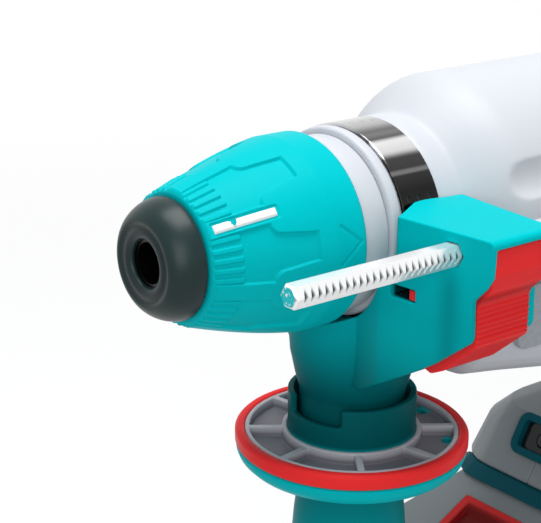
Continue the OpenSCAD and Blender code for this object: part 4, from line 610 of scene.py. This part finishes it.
# Painted shade: the floors of the pockets between the spokes are painted darker.
guard_grey.tint(z.step(-58.6, -60.6) * 0.72, (0.09, 0.085, 0.105))
spoke_count = 8
spoke_turn, window_turn = 360 / spoke_count, 8.9
pocket = y.math("ARCTAN2", x) * (180 / math.pi / spoke_turn) + spoke_count
share = (pocket - window_turn / spoke_turn).math("FRACT")
from_axis = (x * x + y * y).math("SQRT")
window = z.step(-60.2, -60.6) * share.step(0.66, 0.7) * share.step(0.92, 0.88)
window = window * from_axis.step(24.0, 24.4) * from_axis.step(27.4, 27.0)
guard_grey.tint(window, (0.0, 0.33, 0.36))
eased("guard_flange", 0.22 * fineness, 2, guard_grey, "grip", keep=0.5)
eased("guard_ring", 0.25 * fineness, 3, red, "grip")
grip_teal = Finish("teal_grip", (0.0, 0.52, 0.56), 0.42, specular=0.04)
grip_teal.vary(60, 0.05, 0.03).grain(2600, 0.12, 0.0001)
x, y, z = grip_teal.axes()
# Painted shadow: the collar inside the guard is painted dark, fading out towards the rear and −y side.
grip_teal.tint(z.step(-59, -57) * (1 - (y + 2.5 * (x - band_x)).step(-10, -45)) * 0.84, (0.0, 0.03, 0.036))
# Painted shadow: the grip is painted darker just below the guard.
grip_teal.tint(z.step(-66, -71) * z.step(-120, -72) * 0.6, (0.0, 0.05, 0.06))
eased("side_grip", 0.4 * fineness, 4, grip_teal, "grip")

# ---------------------------------------------------------------------------------------------------------
# The base and the battery: moulded mid-grey plastic in screwed halves, a dark teal strip and lamp frame
# pushed into the base, and a red release button in the battery, which slides onto the base from the front.

base_grey = Finish("base_grey", (0.2, 0.225, 0.235), 0.5)
base_grey.vary(40, 0.05, 0.04).grain(1800, 0.15, 0.00015)
x, y, z = base_grey.axes()
# Painted light: the base's −y side is painted lighter near its top, where a facet catches the light.
base_grey.tint(y.step(-17.5, -20.5) * z.step(-102, -101) * 0.4, (0.4, 0.42, 0.43))
eased("base_shell_left", 0.5 * fineness, 5, base_grey, "machine")
eased("base_shell_right", 0.5 * fineness, 5, base_grey, "machine")
eased("battery_case", 0.4 * fineness, 3, base_grey, "battery")
dark_teal = Finish("dark_teal_moulding", (0.0, 0.075, 0.1), 0.4, specular=0.08)
dark_teal.vary(60, 0.05, 0.04)
eased("base_trim", 0.3 * fineness, 4, dark_teal, "machine")
eased("light_bezel", 0.25 * fineness, 4, dark_teal, "machine")
release_red = Finish("red_release", (0.72, 0.03, 0.03), 0.36, specular=0.1)
release_red.vary(70, 0.05, 0.04).grain(2400, 0.08, 0.0001)
x, y, z = release_red.axes()
# Painted shade: the middle of the release button is painted dark red, with only its rim left bright.
centre = x.step(-125.2, -123.2) * x.step(-111, -113) * y.math("ABSOLUTE").step(13.6, 12.0)
release_red.tint(centre, (0.16, 0.004, 0.004))
eased("release_button", 0.22 * fineness, 2, release_red, "release_button")
dark = Finish("dark_moulding", (0.02, 0.022, 0.025), 0.5)
dark.vary(50, 0.06, 0.1).grain(1600, 0.15, 0.00015)
eased("battery_base", 0.6 * fineness, 5, dark, "battery")

# ---------------------------------------------------------------------------------------------------------
# Soft parts and small parts: rubber grips and pads, and the turned, ground and cast metal parts of the drive
# inside the housing. They keep their solids' shapes and take their finishes here, the two springs as copies.

soft_grey = Finish("soft_pad", (0.36, 0.38, 0.41), 0.65)
soft_grey.bump(soft_grey.place.get("ShaderNodeTexVoronoi", _0=soft_grey.place, Scale=520.0), 0.7, 0.0005)
steel = Finish("machined_steel", (0.52, 0.53, 0.55), 0.28, metallic=1.0).vary(60, 0.06, 0.06)
ground = Finish("ground_steel", (0.66, 0.67, 0.69), 0.18, metallic=1.0).vary(60, 0.04, 0.05)
screw = Finish("blackened_steel", (0.12, 0.12, 0.13), 0.35, metallic=1.0).vary(90, 0.08, 0.1)
cast = Finish("cast_aluminium", (0.6, 0.61, 0.63), 0.42, metallic=1.0).vary(50, 0.08, 0.08)
iron = Finish("motor_iron", (0.2, 0.21, 0.22), 0.5, metallic=0.9).vary(50, 0.08, 0.1)
glass = Finish("lamp_lens", (0.008, 0.011, 0.012), 0.12, specular=0.25).vary(60, 0.02, 0.1)
holder = Finish("holder_steel", (0.4, 0.4, 0.41), 0.3, metallic=1.0).vary(60, 0.06, 0.06)
# Painted shade: the front of the tool holder, inside the cap's hole, is painted nearly black.
holder.tint(holder.axes()[0].step(-9, -6) * 0.93, (0.02, 0.022, 0.022))
board = Finish("board_green", (0.02, 0.16, 0.06), 0.3, coat=0.3).vary(60, 0.05, 0.1)
wrap = Finish("cell_wrap", (0.03, 0.14, 0.4), 0.3).vary(60, 0.05, 0.1)
finishes = {
    rubber: ("oil_seal", "handle_grip", "base_bumper"),
    soft_grey: ("side_pads",),
    ground: ("main_bearing", "lay_front_bearing", "lay_rear_bearing", "motor_front_bearing",
             "motor_rear_bearing", "locking_balls"),
    cast: ("bearing_plate", "piston"),
    iron: ("motor_stator", "motor_rotor"),
    glass: ("light_lens",),
    board: ("control_board",),
    wrap: ("battery_cells",),
    screw: ("case_screws", "clamp_bolt", "grip_nut"),
    dark: ("switch_body", "terminal_block", "cooling_fan", "mode_knob", "direction_lever"),
    red: ("trigger",),
    holder: ("tool_holder",),
    steel: ("hammer_cylinder", "cylinder_gear", "lock_ring", "impact_bolt", "striker",
            "piston_pin", "wobble_ring", "layshaft", "driven_gear"),
}
for finish, nodes in finishes.items():
    for node in nodes:
        refinish(node, finish)


def spring(node, body):
    """A copy of a coil spring in machined steel, riding on its body."""
    coil = bpy.data.objects.new(node + "_coil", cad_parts[node].data.copy())
    bpy.context.collection.objects.link(coil)
    coil.data.materials.clear()
    coil.data.materials.append(steel.material)
    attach(coil, body)
    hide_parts(node)
    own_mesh(coil)


spring("sleeve_spring", "spindle")
spring("depth_spring", "side_handle")

# ---------------------------------------------------------------------------------------------------------
# The studio: a paper floor and a surrounding that are white to the camera and in reflections, a soft panel
# overhead and one weaker panel at the side.


def seen_directly(air):
    """1 on the rays of the camera and on those that metal and glass send on, 0 on those that light things."""
    rays = [air.get("ShaderNodeLightPath", k) for k in (0, 3, 6)]
    return (rays[0] + rays[1] + rays[2]).clamp()


floor = bpy.data.objects.new("floor", bpy.data.meshes.new("floor"))
floor_half = 6.0
floor_z = cad_box[0][2] - 0.0005
floor_corners = [(x * floor_half, y * floor_half, floor_z) for x, y in ((-1, -1), (1, -1), (1, 1), (-1, 1))]
floor.data.from_pydata(floor_corners, [], [(0, 1, 2, 3)])
bpy.context.collection.objects.link(floor)
paper = Finish("floor_paper", (0.5, 0.5, 0.5), 0.8, specular=0.0)
seen = seen_directly(paper.start)
paper.feed("Base Color", seen.mix((0.5, 0.5, 0.5), (0.9, 0.9, 0.9)))
away = paper.place.get("ShaderNodeVectorMath", 1, {"operation": "LENGTH"}, _0=paper.place)
fading = away.get("ShaderNodeMapRange", settings={"interpolation_type": "SMOOTHSTEP"},
                  _0=away, _1=0.25, _2=0.9, _3=0.6, _4=1.0)
white = paper.start.node("ShaderNodeEmission", Color=(1, 1, 1, 1), Strength=1.0)
blend = paper.start.node("ShaderNodeMixShader", Fac=seen * fading)
paper.tree.links.new(paper.shader.outputs[0], blend.inputs[1])
paper.tree.links.new(white.outputs[0], blend.inputs[2])
paper.tree.links.new(blend.outputs[0], paper.tree.nodes["Material Output"].inputs["Surface"])
floor.data.materials.append(paper.material)

world = bpy.context.scene.world or bpy.data.worlds.new("studio")
bpy.context.scene.world = world
world.use_nodes = True
sky = world.node_tree
sky.nodes.clear()
air = Field(sky, None)
shade = seen_directly(air).mix((0.3, 0.31, 0.32), (1, 1, 1))
backdrop = air.node("ShaderNodeBackground", Color=shade, Strength=1.0)
sky.links.new(backdrop.outputs[0], air.node("ShaderNodeOutputWorld").inputs["Surface"])


panel_aim = Vector((-0.1, 0, 0))


def panel(name, place, size, power):
    lamp = bpy.data.lights.new(name, "AREA")
    lamp.shape = "RECTANGLE"
    lamp.size, lamp.size_y = size
    lamp.energy = power
    stand = bpy.data.objects.new(name, lamp)
    bpy.context.collection.objects.link(stand)
    stand.location = place
    stand.rotation_euler = (panel_aim - Vector(place)).to_track_quat("-Z", "Y").to_euler()


panel("top_panel", (-0.1, 0.0, 1.2), (0.9, 0.9), 16.5)
panel("side_panel", (0.7, 0.9, 0.45), (0.6, 0.8), 5)

bpy.context.scene.view_settings.view_transform = "Standard"
